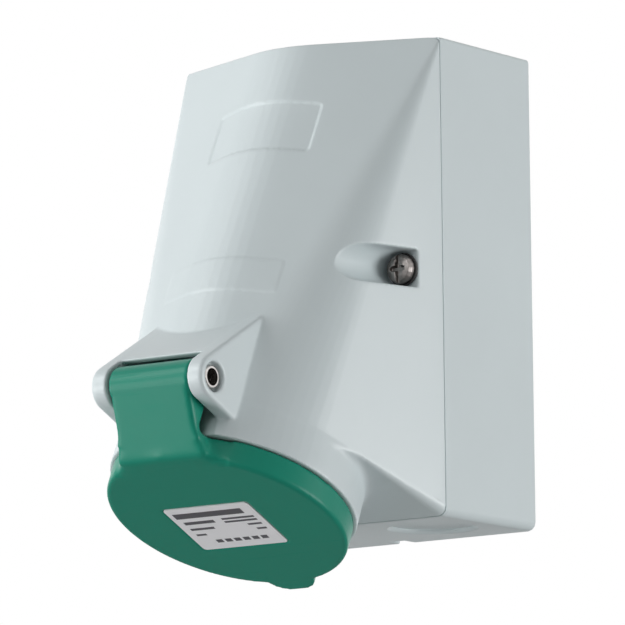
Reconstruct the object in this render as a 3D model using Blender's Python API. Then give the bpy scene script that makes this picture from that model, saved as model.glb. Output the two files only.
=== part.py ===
"""Industrial wall socket: a rear box on the wall, a hood that tapers to a round collar, and a sprung lid.

Blender 4.5, metres. The wall is the plane y = 0, the front looks along -Y, and Z is up. The origin is the
middle of the rear box's back. The collar, its insert and the lid are modelled upright on the socket axis,
with the collar's rim at z = 0 and the hood above it, and are then placed by the tilted empty `socket_axis`.
"""

import math

import bmesh
import bpy
from mathutils import Matrix, Vector

# Rear box and hood
BOX_WIDTH = 0.0983
BOX_HEIGHT = 0.150
BOX_DEPTH = 0.049  # from the wall to the joint between box and hood
WALL = 0.003
TOP_CORNER = 0.0012
BOTTOM_CORNER = 0.0028
INNER_CORNER = 0.0006  # smallest corner radius inside the walls
JOINT_GAP = 0.0003  # between any two pieces that touch on the real product
CUT_BEYOND = 0.002  # how far a cutter reaches past the face that it opens
JOIN_DEPTH = 0.0008  # how far a joined shape is sunk into the one that carries it

# The socket axis leaves the hood downwards and forwards
SOCKET_TILT = math.radians(24.8)
COLLAR_PROUD = 0.0440  # from the joint between box and hood to the middle of the collar's rim
COLLAR_ABOVE_BASE = 0.0054  # from the box's lower edge up to the middle of the rim
COLLAR_WALL = 0.00525
NOSE_DRAFT = math.tan(math.radians(1.3))  # the round nose narrows this much towards the top
COLLAR_FILLET = 0.0026

# Plain sunk panel and raised field on the front of the nose, by their heights up the socket axis
PANEL_HALF_WIDTH = 0.0195
PANEL_LOW = 0.1038
PANEL_HIGH = 0.1219
PANEL_CORNER = 0.0012
PANEL_DEPTH = 0.0004
FIELD_LEFT = 0.0195
FIELD_RIGHT = 0.0220
FIELD_LOW = 0.0518
FIELD_HIGH = 0.0632
FIELD_CORNER = 0.0004
FIELD_PROUD = 0.00015

# Plug well inside the collar
WELL_RADIUS = 0.03375
WELL_DEPTH = 0.042
WELL_WALL = 0.00325
WELL_FLOOR = 0.006
WELL_CHAMFER = 0.0005
WELL_TUBE_ROOT = 0.004  # how far the tube inside the hood starts below its underside
KEYWAY_WIDTH = 0.008
KEYWAY_DEPTH = 0.002

# Housing seal in the rear box's rim
SEAL_LIP = 0.0013
SEAL_DEPTH = 0.002

# Cover screws in their side recesses
SCREW_INSET = 0.00765  # from the box's side to the screw
SCREW_Z = 0.0010
RECESS_RADIUS = 0.0059
RECESS_WALL = 0.0021
RECESS_SET_BACK = 0.0102  # from the joint to the recess's floor
RECESS_FLOOR = 0.0026
SCREW_RADIUS = 0.0022
SCREW_LENGTH = 0.026
SCREW_HEAD_RADIUS = 0.00465
SCREW_HEAD_HEIGHT = 0.0029
SCREW_SEAL_RADIUS = 0.0052
SCREW_SEAL_THICKNESS = 0.0008
SCREW_HOLE_BEYOND = 0.004  # the pillar's hole goes this much deeper than the screw
PILLAR_RADIUS = 0.0052
PILLAR_RIB = 0.0024
PAN_HEAD = ((0.55, 1.0), (0.88, 0.82), (1.0, 0.42))  # shares of the head's radius and height
SCREW_TIP = 0.45  # chamfer at the shank's end, as a share of its radius
CROSS_LENGTH = 0.0056
CROSS_WIDTH = 0.0011
CROSS_DEPTH = 0.0017
SLOT_LENGTH = 0.0086  # the upright slot that runs across the head through the cross

# Knock-outs, wall fixing holes and drain notch of the rear box
KNOCKOUT_INSET = 0.02165  # from the box's side to the knock-out's middle
KNOCKOUT_BEHIND = 0.0235  # from the joint back to the knock-out's middle
KNOCKOUT_RADIUS = 0.01325
KNOCKOUT_RECESS = 0.0014
KNOCKOUT_CHAMFER = 0.0009
KNOCKOUT_WEB = 0.0012
KNOCKOUT_STEP = 0.0009  # the thin web is this much smaller in radius inside the box
FIXING_INSET = 0.015  # from the box's edges to a wall fixing hole
FIXING_RADIUS = 0.0027
FIXING_BOSS_RADIUS = 0.0058
FIXING_BOSS_HEIGHT = 0.004
DRAIN_WIDTH = 0.0056
DRAIN_DEPTH = 0.006

# Hinge: two ears, the roof between them and a hollow pin
HINGE_PROUD = 0.0078  # from the collar's outside to the pin
HINGE_UP = 0.0130  # from the rim's plane to the pin
EAR_INNER = 0.0154
EAR_OUTER = 0.0210
EAR_NOSE = 0.0069
EAR_TOP_UP = 0.0439
EAR_TOP_INSET = 0.0016  # the ear's upper edge runs out on the nose this far inside its outer face
EAR_LOW_UP = 0.0060
EAR_EDGE = 0.0010
ROOF_THICKNESS = 0.0020
ROOF_LIP = 0.0006  # what is left of the roof at its front edge
ROOF_END_UP = 0.0212
PIN_RADIUS = 0.00355
PIN_BORE = 0.0027
PIN_CHAMFER = 0.0003
PIN_SET_BACK = 0.0010  # from the ears' outer faces to the pin's ends
COUNTERBORE_RADIUS = 0.0047
COUNTERBORE_DEPTH = 0.0026
BARREL_ROOM = 0.0053  # from the lid's barrel to the flat on the collar behind it

# Lid
LID_INSET = 0.0010  # the lid's radius is this much less than the collar's
LID_HEIGHT = 0.0085
LID_EDGE = 0.0013
LID_FACE = 0.0025
LID_SKIRT = 0.0020
LID_SEAL_STEP = 0.0029  # from the rim's plane to the floor under the seal
LID_SEAL_COVER = 0.00065  # the seal reaches this far inside the plug well's wall
LID_SEAL_RIB = 0.0009
LID_SEAL_RIB_HEIGHT = 0.0019
LID_EDGE_STEPS = 3
EAR_STEPS = 14
RECESS_STEPS = 14
FILLET_STEPS = 4
TAB_STEPS = 5
BARREL_RADIUS = 0.0062
BARREL_START = -10  # degrees, where the round of the barrel begins at its back
BARREL_STEPS = 16
ARM_SIDE_GAP = 0.0006  # between the arm and the ears
ARM_PLATE = 0.0020
ARM_GUSSET = 0.0024
ARM_BACK_INSET = 0.0007  # the arm's back stands this far in front of the barrel's back
ARM_BACK_DROP = 0.0045  # the arm's back starts this far below the pin
ARM_HOLLOW_LOW = 0.0012
SPRING_POCKET_HALF = 0.0080
SPRING_POCKET_RADIUS = 0.0052
TAB_HALF_WIDTH = 0.0085
TAB_PROUD = 0.0036
TAB_HEIGHT = 0.0042
TAB_CORNER = 0.0062
TAB_FLARE = 0.0040  # the tongue widens this much on each side where it meets the lid
CATCH_HALF_WIDTH = 0.0060
CATCH_INSET = 0.0031  # from the seal's inside to the catch
CATCH_THICKNESS = 0.0022
CATCH_DROP = 0.0038

# Rating plate in the lid's face
PLATE_WIDTH = 0.0320
PLATE_HEIGHT = 0.0240
PLATE_X = -0.0020
PLATE_Y = 0.0024
PLATE_THICKNESS = 0.0004
PLATE_CORNER = 0.0012

# Torsion spring round the pin
SPRING_WIRE = 0.00040
SPRING_RADIUS = 0.00428
SPRING_TURNS = 6
SPRING_HALF_LENGTH = 0.0048
SPRING_LEG = 0.0095
SPRING_LEG_DROP = 0.0080
SPRING_STEP = 26  # degrees between the wire's bends

# Insert with its contacts
PLUG_ROOM = 0.0060  # between the insert and the wall of the well, for the plug's collar
CARRIER_FACE = 0.004  # from the rim's plane up to the insert's face
CARRIER_FLANGE_INSET = 0.0025  # the flange's edge lies this far inside the tube's outside
CARRIER_FLANGE = 0.003
CARRIER_CLEARANCE = 0.00045
CARRIER_SCREW_INSET = 0.0034  # from the flange's edge to its screws
CARRIER_SCREW_RADIUS = 0.0015
CARRIER_SCREW_LENGTH = 0.0072
CARRIER_SCREW_FLOOR = 0.0012  # plastic left under the screw hole
CARRIER_SEAL_THICKNESS = 0.0010
CARRIER_SEAL_WIDTH = 0.0011
CARRIER_CHAMFER = 0.0008
CARRIER_SCREW_HEAD_RADIUS = 0.0029
CARRIER_SCREW_HEAD_HEIGHT = 0.0021
CARRIER_SLOT_WIDTH = 0.0008
CARRIER_SLOT_DEPTH = 0.0009
BLOCK_INSET = 0.00225  # the terminal block's radius is this much less than the insert's
BLOCK_HEIGHT = 0.0085
BLOCK_CHAMFER = 0.0010
CONTACT_INSET = 0.00955  # from the insert's edge to the circle of its contacts
LINE_PIN_RADIUS = 0.0025
EARTH_PIN_RADIUS = 0.0035
PIN_HOLE_CLEARANCE = 0.0006  # round the plug's pin, in the insert's face
PIN_HOLE_CHAMFER = 0.0004
CONTACT_FIT = 0.00005  # round the plug's pin, in the sleeve
SLEEVE_WALL = 0.0011
SLEEVE_SET_BACK = 0.0045  # from the insert's face to the sleeve's mouth
SLEEVE_SLOT = 0.0010
SLEEVE_SLOT_LENGTH = 0.0160
SLEEVE_SOLID = 0.0040  # brass between the sleeve's bore and the flange
CONTACT_FLANGE = 0.0011
CONTACT_FLANGE_HEIGHT = 0.002
TERMINAL_RADIUS = 0.0044
TERMINAL_REACH = 0.0085  # beyond the terminal block
WIRE_HOLE_RADIUS = 0.0019
WIRE_HOLE_DEPTH = 0.0120
CLAMP_SCREW_RADIUS = 0.0014
CLAMP_SCREW_LENGTH = 0.0055
CLAMP_SCREW_BELOW_END = 0.0036
CLAMP_SCREW_PROUD = 0.0015
CLAMP_SLOT_WIDTH = 0.0006
CLAMP_SLOT_DEPTH = 0.0008

# Facets and the least distance that counts as one
TOUCH = 0.0001
FACE_OVERLAP = 0.00005  # keeps two joined shapes' faces from lying in one plane
NOSE_SIDES = 72
ROUND_SIDES = 48
CARRIER_SIDES = 36
KNOCKOUT_SIDES = 28
PILLAR_SIDES = 28
SMALL_SIDES = 20
CONTACT_SIDES = 16
BORE_SIDES = 12
HOLE_SIDES = 12

# Places and sizes that follow from the ones above
COLLAR_REACH = BOX_DEPTH + COLLAR_PROUD
COLLAR_DROP = BOX_HEIGHT / 2 - COLLAR_ABOVE_BASE
COLLAR_RADIUS = WELL_RADIUS + COLLAR_WALL
SCREW_X = BOX_WIDTH / 2 - SCREW_INSET
KNOCKOUT_X = BOX_WIDTH / 2 - KNOCKOUT_INSET
KNOCKOUT_Y = BOX_DEPTH - KNOCKOUT_BEHIND
FIXING_X = BOX_WIDTH / 2 - FIXING_INSET
FIXING_Z = BOX_HEIGHT / 2 - FIXING_INSET
HINGE_OUT = COLLAR_RADIUS + HINGE_PROUD
COLLAR_FLAT = HINGE_OUT - BARREL_RADIUS - BARREL_ROOM
LID_RADIUS = COLLAR_RADIUS - LID_INSET
ARM_HALF_WIDTH = EAR_INNER - ARM_SIDE_GAP
LID_SEAL_INNER = WELL_RADIUS - LID_SEAL_COVER
ARM_BACK_OUT = HINGE_OUT - BARREL_RADIUS - ARM_BACK_INSET
CATCH_OUT = LID_SEAL_INNER - CATCH_INSET
CARRIER_RADIUS = WELL_RADIUS - PLUG_ROOM
CARRIER_FLANGE_RADIUS = WELL_RADIUS + WELL_WALL - CARRIER_FLANGE_INSET
CARRIER_SCREW_OUT = CARRIER_FLANGE_RADIUS - CARRIER_SCREW_INSET
BLOCK_RADIUS = CARRIER_RADIUS - BLOCK_INSET
CONTACT_CIRCLE = CARRIER_RADIUS - CONTACT_INSET
PARTING_BACK = BOX_DEPTH - JOINT_GAP / 2
PARTING_FRONT = BOX_DEPTH + JOINT_GAP / 2
SOCKET = (Matrix.Translation((0, -COLLAR_REACH, -COLLAR_DROP))
          @ Matrix.Rotation(-SOCKET_TILT, 4, 'X'))
HINGE = Matrix.Translation((0, -HINGE_OUT, HINGE_UP))
BOX_EDGE = SOCKET.inverted() @ Vector((0, -PARTING_FRONT, -BOX_HEIGHT / 2))
UNDERSIDE_UP = BOX_EDGE.z  # the hood's underside is square to the socket axis
FLANGE_UP = WELL_DEPTH + WELL_FLOOR + 2 * JOINT_GAP + CARRIER_SEAL_THICKNESS
CARRIER_TOP = FLANGE_UP + CARRIER_FLANGE
BLOCK_UP = CARRIER_TOP + JOINT_GAP
BLOCK_TOP = BLOCK_UP + BLOCK_HEIGHT
RECESS_Y = BOX_DEPTH + RECESS_SET_BACK
SPRING_PLATE = BARREL_RADIUS - SPRING_RADIUS - SPRING_WIRE - JOINT_GAP  # of the arm, where the spring leans


# Shapes

def nose_radius(up, inset=0.0):
    """Radius of the hood's round nose and of the collar at a height along the socket axis."""
    return COLLAR_RADIUS - inset - NOSE_DRAFT * up


def around(count, start=0.0):
    """Angles of a full turn, in equal steps."""
    return [start + 2 * math.pi * step / count for step in range(count)]


def rounded_rectangle(half_width, half_height, low_corner, top_corner, steps=3):
    """Corner points of an upright rounded rectangle in x and z, anticlockwise from the lower right."""
    points = []
    corners = ((1, -1, low_corner, -90), (1, 1, top_corner, 0), (-1, 1, top_corner, 90),
               (-1, -1, low_corner, 180))
    for side, level, radius, start in corners:
        centre_x = side * (half_width - radius)
        centre_z = level * (half_height - radius)
        for step in range(steps + 1):
            angle = math.radians(start + 90 * step / steps)
            points.append((centre_x + radius * math.cos(angle), centre_z + radius * math.sin(angle)))
    return points


def box_outline(inset):
    """Outline of the rear box, and of the hood where they meet, this far inside the outer face."""
    return rounded_rectangle(BOX_WIDTH / 2 - inset, BOX_HEIGHT / 2 - inset,
                             max(BOTTOM_CORNER - inset, INNER_CORNER), max(TOP_CORNER - inset, INNER_CORNER))


def hull(points):
    """The convex solid round some points."""
    shape = bmesh.new()
    for point in points:
        shape.verts.new(point)
    made = bmesh.ops.convex_hull(shape, input=shape.verts)
    spare = {part for part in made['geom_interior'] + made['geom_unused']
             if isinstance(part, bmesh.types.BMVert)}
    bmesh.ops.delete(shape, geom=list(spare), context='VERTS')
    bmesh.ops.dissolve_limit(shape, angle_limit=math.radians(0.2), verts=shape.verts, edges=shape.edges)
    return shape


def loft(rings):
    """A closed solid through rings that have the same number of points."""
    shape = bmesh.new()
    rows = [[shape.verts.new(point) for point in ring] for ring in rings]
    for low, high in zip(rows, rows[1:]):
        for index in range(len(low)):
            after = (index + 1) % len(low)
            shape.faces.new((low[index], low[after], high[after], high[index]))
    shape.faces.new(reversed(rows[0]))
    shape.faces.new(rows[-1])
    bmesh.ops.recalc_face_normals(shape, faces=shape.faces)
    return shape


def turned(profile, sides=ROUND_SIDES):
    """A closed profile of radius and height, spun once round the Z axis."""
    shape = bmesh.new()
    verts = [shape.verts.new((radius, 0, height)) for radius, height in profile]
    edges = [shape.edges.new((verts[index - 1], verts[index])) for index in range(len(verts))]
    bmesh.ops.spin(shape, geom=verts + edges, cent=(0, 0, 0), axis=(0, 0, 1), angle=2 * math.pi,
                   steps=sides, use_merge=True)
    bmesh.ops.remove_doubles(shape, verts=shape.verts, dist=1e-7)
    bmesh.ops.recalc_face_normals(shape, faces=shape.faces)
    return shape


def prism(outline, low, high, turn=None):
    """An outline in x and y, extruded from one height to another, then placed by a matrix."""
    shape = bmesh.new()
    face = shape.faces.new([shape.verts.new((x, y, low)) for x, y in outline])
    made = bmesh.ops.extrude_face_region(shape, geom=[face])
    top = [part for part in made['geom'] if isinstance(part, bmesh.types.BMVert)]
    bmesh.ops.translate(shape, verts=top, vec=(0, 0, high - low))
    bmesh.ops.recalc_face_normals(shape, faces=shape.faces)
    if turn:
        bmesh.ops.transform(shape, matrix=turn, verts=shape.verts)
        bmesh.ops.recalc_face_normals(shape, faces=shape.faces)
    return shape


def block(low, high):
    """A box between two corners."""
    size = [b - a for a, b in zip(low, high)]
    middle = [(a + b) / 2 for a, b in zip(low, high)]
    shape = bmesh.new()
    bmesh.ops.create_cube(shape, size=1, matrix=Matrix.Translation(middle) @ Matrix.Diagonal((*size, 1)))
    return shape


def rod(radius, low, high, sides=SMALL_SIDES, turn=None):
    """A cylinder along Z between two heights, then placed by a matrix."""
    shape = bmesh.new()
    bmesh.ops.create_cone(shape, cap_ends=True, segments=sides, radius1=radius, radius2=radius,
                          depth=high - low, matrix=Matrix.Translation((0, 0, (low + high) / 2)))
    if turn:
        bmesh.ops.transform(shape, matrix=turn, verts=shape.verts)
    return shape


def arc_between(centre, radius, start, end, steps):
    """Points of an arc in a plane, by its angles in degrees."""
    angles = [math.radians(start + (end - start) * step / steps) for step in range(steps + 1)]
    return [(centre[0] + radius * math.cos(angle), centre[1] + radius * math.sin(angle)) for angle in angles]


def tangent_angle(point, centre, radius, side):
    """Angle in degrees at which a line from the point touches a circle, on one side of it."""
    away = Vector(point) - Vector(centre)
    return math.degrees(math.atan2(away.y, away.x) + side * math.acos(radius / away.length))


# Objects

X_ALONG = Matrix.Rotation(math.radians(90), 4, 'Y')  # turns a shape from along Z to along X
Y_BACK = Matrix.Rotation(math.radians(-90), 4, 'X')  # turns a shape from along Z to along +Y
SIDE_VIEW = Matrix(((0, 0, 1, 0), (1, 0, 0, 0), (0, 1, 0, 0), (0, 0, 0, 1)))  # y, z outline along X
FRONT_VIEW = Matrix(((1, 0, 0, 0), (0, 0, -1, 0), (0, 1, 0, 0), (0, 0, 0, 1)))  # x, z outline along -Y


def clear_scene():
    for item in list(bpy.data.objects):
        bpy.data.objects.remove(item, do_unlink=True)


def finish(name, color, roughness, metallic=0.0):
    """A plain material for one kind of piece."""
    made = bpy.data.materials.new(name)
    made.use_nodes = True
    shader = made.node_tree.nodes['Principled BSDF']
    shader.inputs['Base Color'].default_value = (*color, 1)
    shader.inputs['Roughness'].default_value = roughness
    shader.inputs['Metallic'].default_value = metallic
    return made


def frame_empty(name, place, parent=None):
    empty = bpy.data.objects.new(name, None)
    bpy.context.scene.collection.objects.link(empty)
    empty.parent = parent
    empty.matrix_local = place
    return empty


def piece(name, shape, material, parent=None):
    """One sub-part of the product, under its parent's frame."""
    mesh = bpy.data.meshes.new(name)
    shape.to_mesh(mesh)
    shape.free()
    mesh.materials.append(material)
    mesh.shade_smooth()
    mesh.set_sharp_from_angle(angle=math.radians(30))
    made = bpy.data.objects.new(name, mesh)
    bpy.context.scene.collection.objects.link(made)
    made.parent = parent
    return made


def tool(name, shape, parent=None):
    """A shape that only cuts or joins, and is left out of the product."""
    mesh = bpy.data.meshes.new(name)
    shape.to_mesh(mesh)
    shape.free()
    made = bpy.data.objects.new(name, mesh)
    bpy.context.scene.collection.objects.link(made)
    made.parent = parent
    made.hide_render = True
    made.display_type = 'WIRE'
    return made


def combine(target, operation, others):
    """Adds one exact Boolean to the target for each other object."""
    for other in others:
        step = target.modifiers.new(f'{operation.lower()} {other.name}', 'BOOLEAN')
        step.operation = operation
        step.object = other
        step.solver = 'EXACT'


def cut(target, *others):
    combine(target, 'DIFFERENCE', others)


def join(target, *others):
    combine(target, 'UNION', others)


def keep_inside(target, *others):
    combine(target, 'INTERSECT', others)


# Hood

def hood_form(inset, open_back):
    """The hood's convex form: box outline at the back, round nose in front, flat top and flat underside."""
    points = []
    backs = (PARTING_FRONT, PARTING_FRONT - CUT_BEYOND) if open_back else (PARTING_FRONT,)
    for back in backs:
        points += [(x, -back, z) for x, z in box_outline(inset)]
    low = UNDERSIDE_UP + inset
    top = BOX_HEIGHT / 2 - inset
    sine = math.sin(SOCKET_TILT)
    cosine = math.cos(SOCKET_TILT)
    nose = []
    for angle in around(NOSE_SIDES):
        reach = top + COLLAR_DROP + sine * math.sin(angle) * (COLLAR_RADIUS - inset)
        high = reach / (cosine + NOSE_DRAFT * sine * math.sin(angle))
        for up in (low, high):
            radius = nose_radius(up, inset)
            nose.append(SOCKET @ Vector((radius * math.cos(angle), radius * math.sin(angle), up)))
    return hull(points + [point for point in nose if point.y < -PARTING_FRONT])


def hood_outline_radius(angle):
    """Distance from the socket axis to the hood's outline on its underside, in one direction."""
    radius = nose_radius(UNDERSIDE_UP)
    corner = Vector((BOX_WIDTH / 2, BOX_EDGE.y))
    touch = math.atan2(corner.y, corner.x) - math.acos(radius / corner.length)
    side = abs(math.remainder(angle - math.pi / 2, 2 * math.pi))  # turn away from the wall side
    beyond = math.pi / 2 - touch - side
    return radius / math.cos(min(max(beyond, 0), math.radians(60)))


def collar_form():
    """The collar, with a fillet under the hood that dies out where the nose runs straight into it."""
    rings = []
    for up in (0.0, UNDERSIDE_UP - COLLAR_FILLET):
        rings.append([SOCKET @ Vector((nose_radius(up) * math.cos(angle),
                                       nose_radius(up) * math.sin(angle), up))
                      for angle in around(NOSE_SIDES)])
    for step in range(1, FILLET_STEPS + 1):
        turn = math.pi / 2 * step / FILLET_STEPS
        up = UNDERSIDE_UP - COLLAR_FILLET * (1 - math.sin(turn))
        flare = COLLAR_FILLET * (1 - math.cos(turn))
        ring = []
        for angle in around(NOSE_SIDES):
            radius = min(nose_radius(up) + flare,
                         hood_outline_radius(angle) - NOSE_DRAFT * (up - UNDERSIDE_UP))
            ring.append(SOCKET @ Vector((radius * math.cos(angle), radius * math.sin(angle), up)))
        rings.append(ring)
    inside = UNDERSIDE_UP + JOIN_DEPTH
    radius = nose_radius(inside) - JOIN_DEPTH
    rings.append([SOCKET @ Vector((radius * math.cos(angle), radius * math.sin(angle), inside))
                  for angle in around(NOSE_SIDES)])
    return loft(rings)


def well_tools(axis):
    """The tube and floor that the hood has inside for the plug, and what is bored out of them."""
    outside = WELL_RADIUS + WELL_WALL
    top = WELL_DEPTH + WELL_FLOOR
    foot = UNDERSIDE_UP - WELL_TUBE_ROOT
    tube = tool('well_tube', turned([(0, foot), (outside, foot), (outside, top), (0, top)]), axis)
    mouth = WELL_RADIUS + WELL_CHAMFER
    hole = CARRIER_RADIUS + CARRIER_CLEARANCE
    bore = tool('well_bore', turned([(0, -CUT_BEYOND), (mouth, -CUT_BEYOND), (mouth, 0),
                                     (WELL_RADIUS, WELL_CHAMFER),
                                     (WELL_RADIUS, WELL_DEPTH), (hole, WELL_DEPTH), (hole, top + CUT_BEYOND),
                                     (0, top + CUT_BEYOND)]), axis)
    keyway = tool('keyway', block((-KEYWAY_WIDTH / 2, WELL_RADIUS - KEYWAY_WIDTH / 2, -CUT_BEYOND),
                                  (KEYWAY_WIDTH / 2, WELL_RADIUS + KEYWAY_DEPTH, WELL_DEPTH - JOINT_GAP)),
                  axis)
    screw_holes = [tool(f'carrier_screw_hole_{side}',
                        rod(CARRIER_SCREW_RADIUS + JOINT_GAP, WELL_DEPTH + CARRIER_SCREW_FLOOR,
                            top + CUT_BEYOND,
                            HOLE_SIDES, Matrix.Translation((sign * CARRIER_SCREW_OUT, 0, 0))), axis)
                   for side, sign in (('left', -1), ('right', 1))]
    return tube, [bore, keyway, *screw_holes]


def on_nose(side, up):
    """How far forward of the socket axis the nose's surface lies, this far to the side and this high."""
    return math.sqrt(nose_radius(up) ** 2 - side ** 2)


def ear_top():
    """Where the ears' upper edge runs out on the nose, in y and z."""
    return Vector((-on_nose(EAR_OUTER - EAR_TOP_INSET, EAR_TOP_UP), EAR_TOP_UP))


def ear_outline():
    """Side outline of a hinge ear in y and z: a round nose and straight edges to the hood."""
    centre = (-HINGE_OUT, HINGE_UP)
    top = tuple(ear_top())
    low = (JOIN_DEPTH - on_nose(EAR_OUTER, EAR_LOW_UP), EAR_LOW_UP)
    start = tangent_angle(top, centre, EAR_NOSE, 1)
    end = tangent_angle(low, centre, EAR_NOSE, -1) + 360
    nose = arc_between(centre, EAR_NOSE, start, end, EAR_STEPS)
    root = low[0] + JOIN_DEPTH
    return [(root, EAR_TOP_UP - JOIN_DEPTH), top, *nose, low, (root, EAR_LOW_UP + JOIN_DEPTH)]


def roof_outline():
    """Section of the roof between the ears: a plate in line with the ears' upper edges."""
    centre = (-HINGE_OUT, HINGE_UP)
    top = ear_top()
    angle = math.radians(tangent_angle(top, centre, EAR_NOSE, 1))
    touch = Vector(centre) + EAR_NOSE * Vector((math.cos(angle), math.sin(angle)))
    along = (touch - top).normalized()
    outward = Vector((math.cos(angle), math.sin(angle)))
    top -= FACE_OVERLAP * outward
    front = top + along * ((EAR_TOP_UP - ROOF_END_UP) / -along.y)
    root = JOIN_DEPTH - on_nose(EAR_INNER, EAR_TOP_UP)
    back = top + along * ((root - top.x) / along.x)
    low_back = back + Vector((0, ROOF_THICKNESS / along.x))
    lip = front - ROOF_LIP * outward
    under = front - ROOF_THICKNESS * outward - (ROOF_THICKNESS - ROOF_LIP) * along
    return [tuple(front), tuple(back), tuple(low_back), tuple(under), tuple(lip)]


def ear_tools(axis):
    """The two ears and the roof, and the holes for the pin."""
    outline = ear_outline()
    root = outline[0][0]
    added = []
    for side, sign in (('left', -1), ('right', 1)):
        low, high = sorted((sign * EAR_INNER, sign * EAR_OUTER))
        ear = prism(outline, low, high, SIDE_VIEW)
        rims = [edge for edge in ear.edges
                if all(vert.co.x * sign > EAR_INNER + EAR_EDGE and vert.co.y < root - TOUCH
                       for vert in edge.verts)]
        bmesh.ops.bevel(ear, geom=rims, offset=EAR_EDGE, segments=2, profile=0.5, affect='EDGES', material=-1)
        added.append(tool(f'ear_{side}', ear, axis))
    half = EAR_INNER + JOIN_DEPTH
    added.append(tool('ear_roof', prism(roof_outline(), -half, half, SIDE_VIEW), axis))
    pin_place = HINGE @ X_ALONG
    end = EAR_OUTER + CUT_BEYOND
    holes = [tool('pin_hole', rod(PIN_RADIUS + JOINT_GAP, -end, end, SMALL_SIDES, pin_place), axis)]
    for side, low, high in (('left', -end, COUNTERBORE_DEPTH - EAR_OUTER),
                            ('right', EAR_OUTER - COUNTERBORE_DEPTH, end)):
        holes.append(tool(f'pin_counterbore_{side}',
                          rod(COUNTERBORE_RADIUS, low, high, SMALL_SIDES, pin_place), axis))
    return added, holes


def collar_flat_tools(axis):
    """The flat on the front of the collar, which goes up between the ears."""
    front = -(COLLAR_RADIUS + CUT_BEYOND)
    below = tool('collar_flat_low',
                 block((-EAR_OUTER, front, -CUT_BEYOND), (EAR_OUTER, -COLLAR_FLAT, EAR_LOW_UP)), axis)
    between = tool('collar_flat_high', block((-EAR_INNER, front, EAR_LOW_UP - JOIN_DEPTH),
                                             (EAR_INNER, -COLLAR_FLAT, ROOF_END_UP + ROOF_THICKNESS)), axis)
    return [below, between]


def nose_prism(left, right, low, high, corner):
    """A rounded rectangle on the front of the nose, along the socket's y axis and through its surface."""
    middle = Vector(((right - left) / 2, (low + high) / 2))
    outline = rounded_rectangle((left + right) / 2, (high - low) / 2, corner, corner)
    return prism([(x + middle.x, z + middle.y) for x, z in outline], WELL_RADIUS / 2,
                 COLLAR_RADIUS + CUT_BEYOND,
                 FRONT_VIEW)


def panel_tools(axis):
    """The raised field to join to the nose, and the shallow cut of the sunk panel."""
    field = tool('field', nose_prism(FIELD_LEFT, FIELD_RIGHT, FIELD_LOW, FIELD_HIGH, FIELD_CORNER), axis)
    keep_inside(field, tool('field_limit', hood_form(-FIELD_PROUD, False)))
    panel = tool('panel', nose_prism(PANEL_HALF_WIDTH, PANEL_HALF_WIDTH, PANEL_LOW, PANEL_HIGH,
                                     PANEL_CORNER), axis)
    cut(panel, tool('panel_floor', hood_form(PANEL_DEPTH, False)))
    return field, panel


def recess_outline(radius, side):
    """Section of a screw recess in x and z: half round inside, open to the side of the hood."""
    centre = (side * SCREW_X, SCREW_Z)
    start = 90 if side > 0 else 270
    arc = arc_between(centre, radius, start, start + 180, RECESS_STEPS)
    outside = side * (BOX_WIDTH / 2 + CUT_BEYOND)
    return arc + [(outside, arc[-1][1]), (outside, arc[0][1])]


def recess_tools():
    """For each side: the boss round the screw recess, held inside the hood's form, and its cuts."""
    form = tool('hood_limit', hood_form(WALL / 2, False))
    bosses = []
    cuts = []
    for name, side in (('left', -1), ('right', 1)):
        back = RECESS_Y - RECESS_FLOOR
        centre = Matrix.Translation((side * SCREW_X, 0, SCREW_Z))
        boss = tool(f'recess_boss_{name}', rod(RECESS_RADIUS + RECESS_WALL, back, COLLAR_REACH, PILLAR_SIDES,
                                               centre @ Y_BACK.inverted()))
        keep_inside(boss, form)
        guide = tool(f'recess_guide_{name}', rod(PILLAR_RADIUS, PARTING_FRONT, back + JOIN_DEPTH,
                                                 PILLAR_SIDES,
                                                 centre @ Y_BACK.inverted()))
        bosses += [boss, guide]
        cuts.append(tool(f'recess_{name}', prism(recess_outline(RECESS_RADIUS, side), RECESS_Y,
                                                 COLLAR_REACH + COLLAR_RADIUS, FRONT_VIEW)))
        cuts.append(tool(f'recess_hole_{name}', rod(SCREW_RADIUS + JOINT_GAP, PARTING_FRONT - CUT_BEYOND,
                                                    RECESS_Y + CUT_BEYOND, HOLE_SIDES,
                                                    centre @ Y_BACK.inverted())))
    return bosses, cuts


def front_housing(material, axis):
    made = piece('front_housing', hood_form(0.0, False), material)
    field, panel = panel_tools(axis)
    join(made, tool('collar', collar_form()), field)
    cut(made, panel, tool('hood_hollow', hood_form(WALL, True)))
    tube, bores = well_tools(axis)
    join(made, tube)
    bosses, recess_cuts = recess_tools()
    join(made, *bosses)
    ears, pin_holes = ear_tools(axis)
    join(made, *ears)
    cut(made, *bores, *recess_cuts, *collar_flat_tools(axis), *pin_holes)
    return made


# Rear box

def box_prism(inset, low, high):
    """The box outline this far inside the outer face, between two distances from the wall."""
    return prism(box_outline(inset), low, high, FRONT_VIEW)


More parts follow.
